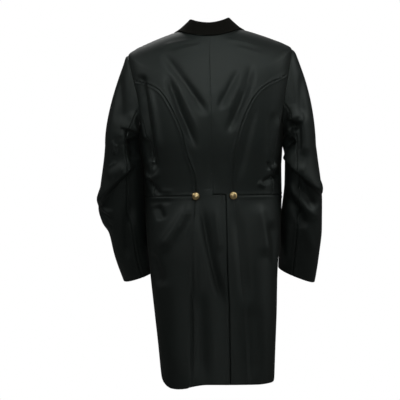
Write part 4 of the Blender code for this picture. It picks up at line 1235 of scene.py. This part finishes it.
@dataclass
class TurnedCollar:
    """The velvet collar and the wool lapels, which stand up inside an edge and fold over it."""

    velvet: bpy.types.Material
    wool: bpy.types.Material
    least_stand: float = 0.0004
    roll_reach: tuple[float, float] = (1.2, 0.003)
    roll_share: float = 0.7
    roll_fall: float = 1.4
    stand_points: int = 6
    fold_points: int = 9
    fall_points: int = 18

    def turned_over(self, frame: tuple[Array, Array, Array], stand: Array, feet: Places) -> Patch:
        """Points across a piece that is turned over an edge.

        It stands up inside the edge, goes round its fold and lies along its feet on the form.

        Args:
            frame: The edge's points, the ways across it and the ways up from it.
            stand: The height of the fold above the edge.
            feet: Angles and levels of the places it lies over, one row for each edge point.

        Returns:
            The patch.
        """
        seam, across, upwards = (part[:, None, :] for part in frame)
        height = np.maximum(stand - COLLAR_FOLD, self.least_stand)[:, None, None]
        inner = seam - across * (COLLAR_CLEAR + CLOTH) + upwards * COLLAR_RISE
        up_shares = np.linspace(0, 1, self.stand_points)[None, :, None]
        standing = inner + upwards * height * up_shares
        centre = seam + upwards * (COLLAR_RISE + height) + across * (COLLAR_LIFT - COLLAR_FOLD)
        turns = np.linspace(0, math.pi, self.fold_points + 2)[1:-1][None, :, None]
        direction = upwards * np.sin(turns) - across * np.cos(turns)
        folding = centre + direction * COLLAR_FOLD
        foot, normal = body_frame(*feet)
        away = np.linalg.norm(foot - seam, axis=-1, keepdims=True)
        per_stand, extra = self.roll_reach
        reach = np.minimum(away[:, -1:], per_stand * stand[:, None, None] + extra)
        share = np.minimum(away / reach, 1.0)
        turn = smooth_step(share, 0.0, self.roll_share)
        facing = unit(across * (1 - turn) + normal * turn)
        rise = upwards * (COLLAR_RISE + height) * (1 - share) ** self.roll_fall
        lying = foot + facing * COLLAR_LIFT + rise
        points = np.concatenate([standing, folding, lying], axis=1)
        walls = np.concatenate([across + 0 * standing, -direction, -facing], axis=1)
        return Patch(points, walls * CLOTH, np.zeros(points.shape[:2], dtype=int))

    @staticmethod
    def roll_frame(angle: Array, level: Array) -> tuple[Array, Array, Array]:
        """The frame on the roll line: across lies on the form, up is its normal."""
        point, normal = body_frame(angle, level)
        sign = np.copysign(1, angle)
        above, below = (
            body_base(sign * front_edge(at), at) for at in (level + 0.0005, level - 0.0005)
        )
        across = unit(np.cross(normal, above - below)) * sign[:, None]
        return point, across, normal

    @staticmethod
    def neck_frame(angle: Array) -> tuple[Array, Array, Array]:
        """The frame on the neck seam: up leans in over the neck."""
        point, _ = body_frame(angle, np.full(angle.shape, NECK))
        outwards = unit(point * np.array([1.0, 1.0, 0.0]))
        upwards = unit(np.array([0.0, 0.0, 1.0]) - outwards * COLLAR_LEAN)
        across = unit(outwards - upwards * dot(outwards, upwards))
        return point, across, upwards

    @staticmethod
    def between(start: Places, end: Places, shares: Array) -> Places:
        """Places from start to end, one row for each pair."""
        pairs = [(a[:, None], b[:, None]) for a, b in zip(start, end)]
        return tuple(a + (b - a) * shares[None, :] for a, b in pairs)

    def collar(self, cut: SheetCut) -> bpy.types.Object:
        """Stand, fold and fall in one, round the neck and down to the gorge on either side."""
        half = np.concatenate([np.linspace(0, 5, 56), np.linspace(5, 6, 22)[1:]])
        steps = np.concatenate([-half[:0:-1], half])
        sign = np.where(steps < 0, -1.0, 1.0)
        shape = {name: curve(np.abs(steps)) for name, curve in COLLAR_SHAPE.items()}
        level = shape["neck_level"]
        angle = sign * np.minimum(np.radians(shape["neck_degrees"]), front_edge(level))
        point, aside, normal = self.roll_frame(angle, level)
        _, across, upwards = self.neck_frame(angle)
        turn = smooth_step(np.abs(steps), 4.4, 5.5)[:, None]
        across = unit(across * (1 - turn) + aside * turn)
        upwards = upwards * (1 - turn) + normal * turn
        upwards = unit(upwards - across * dot(across, upwards))
        fall = (sign * np.radians(shape["fall_degrees"]), shape["fall_level"])
        feet = self.between((angle, level), fall, np.linspace(0, 1, self.fall_points))
        patch = self.turned_over((point, across, upwards), shape["stand"], feet)
        shell = ClothShell("velvet_collar", [patch])
        return shell.sew(self.velvet, "collar")

    def lapel(self, side: Side, cut: SheetCut) -> bpy.types.Object:
        """The lapel, turned back from the roll line and lying on the forepart."""
        down = np.linspace(0, 1, 60)
        top = dict(zip(COLLAR_COLUMNS, COLLAR_STEPS[-1]))
        roll_level = top["neck_level"] - GORGE_GAP + down * (BREAK - top["neck_level"])
        edge_level = LAPEL_CORNER + down * (BREAK - LAPEL_CORNER)
        roll = (front_edge(roll_level), roll_level)
        edge = (angle_at(LAPEL(edge_level), edge_level, front=True), edge_level)
        notch = (math.radians(top["fall_degrees"]), top["fall_level"] - GORGE_GAP * 1.6)
        middle = mix(mix(roll, edge, 0.6), notch, (1 - down) ** 3)
        inner = self.between(roll, middle, np.linspace(0, 1, 13))
        outer = self.between(middle, edge, np.linspace(0, 1, 9)[1:])
        angle, level = (np.concatenate(pair, axis=1) for pair in zip(inner, outer))
        angle = angle * side.value
        stand = np.full(down.shape, top["stand"])
        frame = self.roll_frame(angle[:, 0], level[:, 0])
        patch = self.turned_over(frame, stand, (angle, level))
        shell = ClothShell(f"turned_lapel_{side.word}", [patch])
        return shell.sew(self.wool, f"lapel_{side.word}")


@dataclass
class Sleeve:
    """One sleeve of two panels, from the armhole down to the cuff."""

    side: Side
    wool: bpy.types.Material
    cap_rows: int = 64
    arm_rows: int = 136
    arrive: float = 0.9
    tilt_over: float = 0.12
    settle: tuple[float, float] = (0.08, 0.40)
    facing: tuple[float, float] = (0.1, 0.5)
    lean_turn: float = 0.75

    def centre(self, height: Array) -> Array:
        """The sleeve's middle at each height."""
        arm = ARM[self.side.word]
        across = self.side.value * (arm["outer"](height) + arm["inner"](height)) / 2
        return np.stack([across, arm["middle_y"](height), height], axis=-1)

    def axis(self, height: Array) -> Array:
        """The way the sleeve runs, downwards."""
        return unit(self.centre(height - 0.02) - self.centre(height + 0.02))

    def ring(self, height: Array, turn: Array) -> Array:
        """Points round the sleeve: turn 0 is its outer side, 90 degrees its back."""
        arm, axis = ARM[self.side.word], self.axis(height)
        outwards = np.zeros(axis.shape) + np.array([self.side.value, 0.0, 0.0])
        outwards = unit(outwards - axis * dot(axis, outwards))
        backwards = unit(np.cross(outwards, axis))
        backwards = np.where(backwards[..., 1:2] > 0, -backwards, backwards)
        half_width = ((arm["outer"](height) - arm["inner"](height)) / 2)[..., None]
        depth = arm["half_depth"](height)[..., None]
        square = SLEEVE_SQUARE
        out = ((1 + square) * np.cos(turn) - square * np.cos(3 * turn))[..., None]
        back = ((1 + square) * np.sin(turn) + square * np.sin(3 * turn))[..., None]
        cuff = CUFF[self.side.word]
        end = cuff["height"]
        tilt = (cuff["tilt"] * smooth_step(-height, -end - self.tilt_over, -end))[..., None]
        around = outwards * half_width * out + backwards * depth * back
        return self.centre(height) + around + axis * half_width * out * tilt

    def armhole_point(self, turn: Array) -> Array:
        """Points on the armhole, where turn 0 is the shoulder tip and 90 degrees its back."""
        level = ARMHOLE_MIDDLE + ARMHOLE_REACH * np.cos(turn)
        bulge = np.where(np.sin(turn) > 0, ARMHOLE_BACK[self.side.word], ARMHOLE_FRONT)
        angle = math.pi / 2 - bulge * np.sin(turn)
        point, _ = body_frame(self.side.value * angle, level)
        return point + np.array([self.side.value * SLEEVE_GAP, 0.0, 0.0])

    def surface(self, turn: Array, along: Array) -> Array:
        """The sleeve's form before creases."""
        top, cuff = SLEEVES[self.side.word][0][0], CUFF[self.side.word]
        arm = self.ring(top + (cuff["height"] - top) * (np.maximum(along, 1.0) - 1), turn)
        t = np.minimum(along, 1.0)[..., None]
        start, end = self.armhole_point(turn), self.ring(np.full(turn.shape, top), turn)
        reach = np.linalg.norm(end - start, axis=-1, keepdims=True)
        crown = (1 + np.cos(turn)) / 2
        way = [self.side.value * (0.75 - 0.25 * crown), -0.12 * np.sin(turn), -0.55 - 0.25 * crown]
        leave = np.stack(way, axis=-1) * reach * cuff["head_push"]
        arrive = self.axis(np.full(turn.shape, top)) * reach * self.arrive
        swell = HEAD_LIFT * np.maximum(np.cos(turn), 0)[..., None]
        swell = swell * t / HEAD_AT * np.exp(1 - t / HEAD_AT)
        cap = (
            np.array([self.side.value, 0.0, 0.3]) * swell
            + start * ((1 + 2 * t) * (1 - t) ** 2)
            + leave * (t * (1 - t) ** 2)
            + end * (t * t * (3 - 2 * t))
            - arrive * (t * t * (1 - t))
        )
        return np.where((along >= 1)[..., None], arm, cap)

    def patch(self, turns: Array) -> Patch:
        """A panel's patch over the given turns, from the armhole to the cuff."""
        ends = np.array([0.0, 0.006, 0.015, 0.028])
        cap = np.concatenate([ends, np.linspace(0.045, 1, self.cap_rows)])
        alongs = np.concatenate([cap, np.linspace(1, 2, self.arm_rows)[1:]])
        turn, along = np.broadcast_arrays(turns[None, :], alongs[:, None])
        point = self.surface(turn, along)
        step = 0.004
        normal = surface_normal(self.surface, turn, np.clip(along, step, 2 - step), 0.02, step)
        hole = (self.armhole_point(np.zeros(1)) + self.armhole_point(np.full(1, math.pi))) / 2
        centre = np.where((along < 1)[..., None], hole, self.centre(point[..., 2]))
        normal = np.where(dot(normal, point - centre) < 0, -normal, normal)
        settled = smooth_step(along, *self.settle)
        behind = smooth_step(-normal[..., 1], *self.facing) * settled
        ahead = smooth_step(normal[..., 1], *self.facing) * settled
        push = behind * crease_depth(SLEEVE_CREASES[self.side.word], point)
        push += behind * fold_height(SLEEVE_FOLDS[self.side.word], point)
        push += ahead * crease_depth(SLEEVE_FRONT_CREASES[self.side.word], point)
        inner = np.exp(-(((np.abs(turn) - math.pi) / self.lean_turn) ** 2)) * settled
        for row in SLEEVE_LEANS[self.side.word]:
            lean = dict(zip(LEAN_COLUMNS, row))
            far = (point[..., 2] - lean["height"]) / lean["length"]
            push += lean["push"] * inner * np.exp(-(far**2))
        point = point + normal * push[..., None]
        radial = unit((hole - point) * np.array([0.0, 1.0, 1.0]))
        blend = smooth_step(along, 0.0, 0.25)[..., None]
        walls = unit(radial * (1 - blend) - normal * blend) * CLOTH
        seams = CoatBody.edges(
            turn.shape,
            (NEAR_EDGE, EdgeKind.ROLLED),
            (FAR_EDGE, EdgeKind.ROLLED),
            (LOW_EDGE, EdgeKind.SET_IN),
        )
        return Patch(point, walls, seams)

    def panel(
        self, name: str, node: str, start: float, end: float
    ) -> bpy.types.Object:
        """Builds one panel.

        Args:
            name: The piece's name.
            node: The solid it stands for.
            start: The turn at its first seam.
            end: The turn at its last seam.

        Returns:
            The piece.
        """
        gap = SEAM_GAP / 2 / SLEEVE_RADIUS
        columns = round((end - start) * SLEEVE_RADIUS * SLEEVE_ROUND / PITCH)
        shares = tight_shares(columns)
        patch = self.patch(start + gap + (end - start - 2 * gap) * shares)
        shell = ClothShell(f"{name}_{self.side.word}", [patch])
        return shell.sew(self.wool, f"{node}_{self.side.word}")


@dataclass
class DomedButton:
    """A pressed brass button: flat rim, fine bead, groove and shallow dome, on a hollow back."""

    brass: bpy.types.Material
    segments: int = 64
    # From this radius out the button is painted dark brown: partly tarnish, partly painted shade
    # round the rim
    tarnish_and_rim_shade_from: float = 0.0084
    tarnish_and_rim_shade_over: float = 0.0008
    profile: tuple[tuple[float, float], ...] = (
        (0.0030, 0.0003), (0.0031, 0.0019), (0.0092, 0.0022), (0.0099, 0.0024), (0.0103, 0.0028),
        (0.0104, 0.0032), (0.0102, 0.0037), (0.0098, 0.0040), (0.0094, 0.0041), (0.0090, 0.0040),
        (0.0088, 0.0037), (0.0086, 0.0038), (0.0082, 0.0042), (0.0072, 0.0049), (0.0058, 0.0056),
        (0.0042, 0.0061), (0.0026, 0.0064), (0.0012, 0.0065),
    )

    def build(self, name: str) -> bpy.types.Object:
        """Turns the button's profile, as extrusions of a disc that are resized in steps.

        Args:
            name: The piece's name.

        Returns:
            The button, at the origin with its face up.
        """
        bpy.ops.object.select_all(action="DESELECT")
        first_radius, first_height = self.profile[0]
        bpy.ops.mesh.primitive_circle_add(
            vertices=self.segments, radius=first_radius, fill_type="NGON",
            location=(0, 0, first_height),
        )
        button = bpy.context.object
        bpy.ops.object.transform_apply(location=True, rotation=False, scale=False)
        bpy.ops.object.mode_set(mode="EDIT")
        bpy.ops.mesh.select_all(action="SELECT")
        for (radius, height), (wider, higher) in zip(self.profile, self.profile[1:]):
            bpy.ops.mesh.extrude_region_move(
                TRANSFORM_OT_translate={"value": (0, 0, higher - height)}
            )
            share = wider / radius
            bpy.ops.transform.resize(value=(share, share, 1), center_override=(0, 0, higher))
        bpy.ops.mesh.extrude_region_move(TRANSFORM_OT_translate={"value": (0, 0, 0.00002)})
        bpy.ops.mesh.merge(type="CENTER")
        bpy.ops.mesh.select_all(action="SELECT")
        bpy.ops.mesh.normals_make_consistent(inside=False)
        bpy.ops.object.mode_set(mode="OBJECT")
        bpy.ops.object.shade_smooth_by_angle(angle=math.radians(40))
        button.name = button.data.name = name
        button.data.materials.append(self.brass)
        self.tarnish_and_rim_shade(button.data)
        return button

    def tarnish_and_rim_shade(self, mesh: bpy.types.Mesh) -> None:
        """Marks the groove, bead and rim, coloured dark brown: partly tarnish where polish doesn't
        reach, partly painted shade round the rim.
        """
        layer = mesh.attributes.new("tarnish_and_rim_shade", "FLOAT", "POINT")
        for vertex, mark in zip(mesh.vertices, layer.data):
            radius = vertex.co.xy.length
            mark.value = min(max((radius - self.tarnish_and_rim_shade_from) / self.tarnish_and_rim_shade_over, 0.0), 1.0)

    def sew_on(self, node: str, across: float, level: float, front: bool, sunk: float) -> None:
        """Builds a button and sets it on the cloth.

        Args:
            node: The solid that it stands for.
            across: Its distance from the ring's middle.
            level: Its level on the torso form.
            front: Whether it is on the coat's front.
            sunk: How far it is let down into the cloth's hollow.
        """
        button = self.build(node.replace("button", "brass_button"))
        place = np.array([level])
        points, normals = body_frame(angle_at(np.array([across]), place, front), place)
        normal = Vector(normals[0])
        turn = normal.to_track_quat("Z", "Y").to_matrix().to_4x4()
        button.data.transform(Matrix.Translation(Vector(points[0]) - normal * sunk) @ turn)
        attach(button, BODY)
        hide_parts(node)
        LOG.info("%s: %d faces", button.name, len(button.data.polygons))


def set_inputs(
    tree: bpy.types.NodeTree,
    node: bpy.types.Node,
    values: dict[str | int, object] | None = None,
    links: dict[str | int, bpy.types.NodeSocket] | None = None,
) -> None:
    """Gives a node's inputs their values and feeds others from outputs."""
    for name, value in (values or {}).items():
        node.inputs[name].default_value = value
    for name, output in (links or {}).items():
        tree.links.new(output, node.inputs[name])


def add_node(
    tree: bpy.types.NodeTree,
    kind: str,
    settings: dict[str, object] | None = None,
    values: dict[str | int, object] | None = None,
    links: dict[str | int, bpy.types.NodeSocket] | None = None,
) -> bpy.types.Node:
    """Adds a node to a tree.

    Args:
        tree: The node tree.
        kind: The node's type.
        settings: Properties of the node.
        values: Values of its inputs, by name or number.
        links: Outputs of other nodes that feed its inputs, by name or number.

    Returns:
        The node.
    """
    node = tree.nodes.new(kind)
    for name, value in (settings or {}).items():
        setattr(node, name, value)
    set_inputs(tree, node, values, links)
    return node


def noise(
    tree: bpy.types.NodeTree, place: bpy.types.NodeSocket, size: float, **values: float
) -> bpy.types.NodeSocket:
    """Noise whose grains are this many metres."""
    values = {"Scale": 1.0 / size, **values}
    return add_node(tree, "ShaderNodeTexNoise", None, values, {"Vector": place}).outputs["Fac"]


def spread(
    tree: bpy.types.NodeTree,
    value: bpy.types.NodeSocket,
    low: float,
    high: float,
    over: tuple[float, float] = (0.0, 1.0),
) -> bpy.types.NodeSocket:
    """A value between low and high, over a range of another."""
    values = {"From Min": over[0], "From Max": over[1], "To Min": low, "To Max": high}
    return add_node(tree, "ShaderNodeMapRange", None, values, {"Value": value}).outputs["Result"]


def blend(
    tree: bpy.types.NodeTree, share: bpy.types.NodeSocket, first: str, second: str
) -> bpy.types.NodeSocket:
    """A colour between two sRGB hex ones."""
    values = {6: linear_colour(first), 7: linear_colour(second)}
    return add_node(tree, "ShaderNodeMix", {"data_type": "RGBA"}, values, {0: share}).outputs[2]


def bump(
    tree: bpy.types.NodeTree,
    height: bpy.types.NodeSocket,
    strength: float,
    distance: float,
    **under: bpy.types.NodeSocket,
) -> bpy.types.NodeSocket:
    """The normals of a fine relief, over another's where Normal gives them."""
    values = {"Strength": strength, "Distance": distance}
    links = {"Height": height, **under}
    return add_node(tree, "ShaderNodeBump", None, values, links).outputs["Normal"]


def new_material(name: str) -> tuple[bpy.types.Material, bpy.types.NodeTree, bpy.types.Node]:
    """A new material, its tree and its Principled shader."""
    material = bpy.data.materials.new(name)
    material.use_nodes = True
    return material, material.node_tree, material.node_tree.nodes["Principled BSDF"]


def band_scale(pitch: float) -> float:
    """The scale of a wave texture whose bands repeat after this many metres."""
    return math.tau / 20.0 / pitch


@dataclass(frozen=True)
class WoolBroadcloth:
    """Milled wool broadcloth: a close twill under a brushed nap, which gives a soft dull sheen."""

    name: str = "milled_wool_broadcloth"
    dye: str = "#111817"
    worn: str = "#181b19"
    gloss_colour: str = "#e6f2ec"
    sheen_colour: str = "#8f8a80"
    sheen: float = 0.06
    sheen_roughness: float = 0.45
    roughness: tuple[float, float] = (0.50, 0.62)
    # The painted shade's factor at a seam's line, which rises to 1 over seam_width
    painted_seam_shade: float = 0.84
    seam_width: float = 0.0026
    twill_pitch: float = 0.0016
    twill_turn: float = math.radians(27)
    nap_size: float = 0.0030
    cloud_size: float = 0.070

    def make(self) -> bpy.types.Material:
        """Builds the node tree.

        Returns:
            The material.
        """
        material, tree, shader = new_material(self.name)
        cloth = add_node(tree, "ShaderNodeUVMap", {"uv_map": "cloth"}).outputs["UV"]
        place = add_node(tree, "ShaderNodeTexCoord").outputs["Object"]
        turn = {"Rotation": (0, 0, self.twill_turn)}
        turned = add_node(tree, "ShaderNodeMapping", None, turn, {"Vector": cloth})
        # The twill's ribs are 0.5 mm apart on the real cloth and are drawn three times as coarse
        ribs = {"Scale": band_scale(self.twill_pitch), "Distortion": 0.6, "Detail": 1.0}
        lines = {"Vector": turned.outputs["Vector"]}
        twill = add_node(tree, "ShaderNodeTexWave", None, ribs, lines).outputs["Fac"]
        nap = noise(tree, place, self.nap_size, Detail=4.0, Roughness=0.6)
        tone = blend(tree, noise(tree, place, self.cloud_size, Detail=2.0), self.dye, self.worn)
        # Cloth beside a seam is painted a little darker, a painted shade for the shadow in the
        # seam's roll, and each tuft of nap has its own shade
        seam = add_node(tree, "ShaderNodeAttribute", {"attribute_name": "seam"}).outputs["Fac"]
        beside = spread(tree, seam, self.painted_seam_shade, 1.0, over=(0.0, self.seam_width))
        grain = spread(tree, nap, 0.86, 1.14, over=(0.3, 0.7))
        product = {"operation": "MULTIPLY"}
        shade = add_node(tree, "ShaderNodeMath", product, None, {0: beside, 1: grain})
        factors = {0: tone, "Scale": shade.outputs["Value"]}
        dyed = add_node(tree, "ShaderNodeVectorMath", {"operation": "SCALE"}, None, factors)
        weave = bump(tree, twill, 0.25, 0.00012)
        values = {
            "Specular IOR Level": 0.55,
            "Specular Tint": linear_colour(self.gloss_colour),
            "Sheen Weight": self.sheen,
            "Sheen Roughness": self.sheen_roughness,
            "Sheen Tint": linear_colour(self.sheen_colour),
        }
        links = {
            "Base Color": dyed.outputs["Vector"],
            "Roughness": spread(tree, nap, *self.roughness),
            "Normal": bump(tree, nap, 0.30, 0.0004, Normal=weave),
        }
        set_inputs(tree, shader, values, links)
        return material


@dataclass(frozen=True)
class CottonVelvet:
    """Cotton velvet: a short upright pile that is nearly black and bright only at a glance."""

    name: str = "cotton_collar_velvet"
    dye: str = "#0b0b08"
    brushed: str = "#14140f"
    sheen_colour: str = "#8f8b78"
    sheen: float = 0.05
    sheen_roughness: float = 0.30
    roughness: tuple[float, float] = (0.85, 1.0)
    pile_size: float = 0.0022
    stroke_size: float = 0.020

    def make(self) -> bpy.types.Material:
        """Builds the node tree.

        Returns:
            The material.
        """
        material, tree, shader = new_material(self.name)
        place = add_node(tree, "ShaderNodeTexCoord").outputs["Object"]
        stroke = noise(tree, place, self.stroke_size, Detail=3.0, Distortion=0.6)
        # The pile's tufts are 0.4 mm apart and are drawn five times as coarse
        pile = noise(tree, place, self.pile_size, Detail=5.0, Roughness=0.7)
        values = {
            "Specular IOR Level": 0.15,
            "Sheen Weight": self.sheen,
            "Sheen Roughness": self.sheen_roughness,
            "Sheen Tint": linear_colour(self.sheen_colour),
        }
        links = {
            "Base Color": blend(tree, stroke, self.dye, self.brushed),
            "Roughness": spread(tree, pile, *self.roughness),
            "Normal": bump(tree, pile, 0.5, 0.0005),
        }
        set_inputs(tree, shader, values, links)
        return material


@dataclass(frozen=True)
class PressedBrass:
    """Pressed and polished brass: pale gold, finely rubbed, dark brown at groove and rim from
    tarnish and painted shade.
    """

    name: str = "pressed_polished_brass"
    polished: str = "#e9cf98"
    # The dark brown of the groove and rim: partly tarnish, partly painted shade
    dull: str = "#2c1b08"
    roughness: tuple[float, float] = (0.22, 0.40)
    rub_size: float = 0.0012

    def make(self) -> bpy.types.Material:
        """Builds the node tree.

        Returns:
            The material.
        """
        material, tree, shader = new_material(self.name)
        place = add_node(tree, "ShaderNodeTexCoord").outputs["Object"]
        # The mark blends in the dark brown over the groove and rim, partly tarnish and partly
        # painted shade
        mark = add_node(tree, "ShaderNodeAttribute", {"attribute_name": "tarnish_and_rim_shade"})
        rub = noise(tree, place, self.rub_size, Detail=4.0)
        links = {
            "Base Color": blend(tree, mark.outputs["Fac"], self.polished, self.dull),
            "Roughness": spread(tree, rub, *self.roughness),
            "Normal": bump(tree, rub, 0.15, 0.0001),
        }
        set_inputs(tree, shader, {"Metallic": 1.0}, links)
        return material


@dataclass
class Studio:
    """A pale floor, a white surround, soft lights and a camera square to the coat's back."""

    floor_height: float = -1.45
    floor_size: float = 18.0
    camera_distance: float = 10.0
    view_width: float = 1.0
    middle: tuple[float, float] = (-0.025, -0.4325)
    sensor: float = 36.0
    sight: float = 60.0
    ambient: float = 0.040

    def build(self) -> None:
        """Sets the floor, surround, lights and camera."""
        self.floor()
        self.surround()
        for row in SOFTBOXES:
            self.softbox(**dict(zip(SOFTBOX_COLUMNS, row)))
        self.camera()

    def floor(self) -> None:
        """A plain pale floor, well under the hem."""
        bpy.ops.object.select_all(action="DESELECT")
        bpy.ops.mesh.primitive_plane_add(size=self.floor_size, location=(0, 0, self.floor_height))
        floor = bpy.context.object
        floor.name = "studio_floor"
        material, tree, shader = new_material("matt_floor_paint")
        set_inputs(tree, shader, {"Base Color": linear_colour("#e6e6e4"), "Roughness": 0.9})
        floor.data.materials.append(material)

    def surround(self) -> None:
        """A white surround that lights the coat only softly."""
        world = bpy.data.worlds.new("white_surround")
        world.use_nodes = True
        bpy.context.scene.world = world
        tree = world.node_tree
        sky = tree.nodes["Background"]
        path = add_node(tree, "ShaderNodeLightPath")
        strength = spread(tree, path.outputs["Is Camera Ray"], self.ambient, 1.0)
        set_inputs(tree, sky, {"Color": (1.0, 1.0, 1.0, 1.0)}, {"Strength": strength})

    def softbox(
        self,
        name: str,
        place: tuple[float, float, float],
        aim: tuple[float, float, float],
        size: float,
        power: float,
        beam: float,
    ) -> None:
        """Adds a square soft light that faces a point.

        Args:
            name: The light's name.
            place: Where it stands.
            aim: The point that it faces.
            size: The length of its side, in metres.
            power: Its power, in watts.
            beam: The angle of its beam, in degrees.
        """
        data = bpy.data.lights.new(name, "AREA")
        data.size, data.energy, data.spread = size, power, math.radians(beam)
        light = bpy.data.objects.new(name, data)
        light.location = place
        light.rotation_euler = (Vector(aim) - Vector(place)).to_track_quat("-Z", "Y").to_euler()
        bpy.context.scene.collection.objects.link(light)

    def camera(self) -> None:
        """A level long lens behind the coat, as far off as keeps its edges parallel."""
        data = bpy.data.cameras.new("behind")
        data.sensor_width = self.sensor
        data.lens = self.sensor * self.camera_distance / self.view_width
        data.clip_end = self.sight
        camera = bpy.data.objects.new("behind", data)
        camera.location = (self.middle[0], -self.camera_distance, self.middle[1])
        camera.rotation_euler = (math.radians(90), 0, 0)
        bpy.context.scene.collection.objects.link(camera)
        bpy.context.scene.camera = camera
        bpy.context.scene.view_settings.view_transform = "Standard"


SOFTBOX_COLUMNS = ("name", "place", "aim", "size", "power", "beam")
SOFTBOXES = (
    ("overhead", (0.20, -0.90, 1.30), (0.0, 0.0, 0.10), 0.8, 0.50, 50.0),
    ("high_spot", (0.10, -1.90, 1.20), (0.0, 0.0, -0.04), 0.4, 0.10, 24.0),
    ("back_spot", (0.0, -2.40, 0.30), (0.0, 0.0, -0.20), 0.4, 0.13, 17.0),
    ("left_spot", (-1.20, -2.20, 0.60), (0.0, 0.0, -0.10), 0.5, 0.10, 28.0),
    ("low_fill", (0.0, -3.00, -0.60), (0.0, 0.0, -0.55), 2.0, 1.2, 180.0),
    ("hem_light", (0.0, -2.20, -0.55), (0.0, 0.0, -0.86), 0.4, 0.05, 18.0),
    ("left_high", (-1.60, -0.40, 1.00), (-0.20, 0.0, -0.35), 0.8, 0.80, 60.0),
    ("right_high", (1.60, -0.40, 1.00), (0.20, 0.0, -0.35), 0.8, 1.06, 60.0),
    ("right_low", (2.10, -0.60, -0.10), (0.0, 0.0, -0.35), 0.8, 0.42, 70.0),
    ("far_light", (-0.30, 1.80, 1.40), (0.0, 0.0, -0.20), 1.2, 13.0, 180.0),
)

# Each panel's cut: width, length and area
CUTS = {
    "back_left": SheetCut(0.20, 0.90, 0.110),
    "back_right": SheetCut(0.20, 0.90, 0.095),
    "side_back": SheetCut(0.16, 0.30, 0.030),
    "front": SheetCut(0.32, 0.50, 0.100),
    "skirt": SheetCut(0.28, 0.49, 0.085),
    "collar": SheetCut(0.36, 0.11, 0.030),
    "lapel": SheetCut(0.12, 0.24, 0.015),
    "top_sleeve": SheetCut(0.20, 0.62, 0.100),
    "under_sleeve": SheetCut(0.13, 0.46, 0.050),
}


def dress_coat() -> None:
    """Builds every piece of the coat over its solids."""
    wool, velvet = WoolBroadcloth().make(), CottonVelvet().make()
    body, collar = CoatBody(wool), TurnedCollar(velvet, wool)
    fore, hind = FORE_SEAM, HIND_SEAM
    for side in Side:
        sleeve = Sleeve(side, wool)
        pieces = (
            body.back(side, CUTS[f"back_{side.word}"]),
            body.side_back(side, CUTS["side_back"]),
            body.front(side, CUTS["front"]),
            body.skirt(side, CUTS["skirt"]),
            collar.lapel(side, CUTS["lapel"]),
            sleeve.panel("sleeve_upper", "top_sleeve", fore - math.tau, hind),
            sleeve.panel("sleeve_under", "under_sleeve", hind, fore),
        )
    collar.collar(CUTS["collar"])
    buttons = DomedButton(PressedBrass().make())
    for row in BUTTONS:
        buttons.sew_on(**dict(zip(BUTTON_COLUMNS, row)))


def main() -> None:
    """Loads the frame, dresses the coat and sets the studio."""
    logging.basicConfig(level=logging.INFO, format="%(message)s")
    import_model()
    dress_coat()
    Studio().build()


if __name__ == "__main__":
    main()
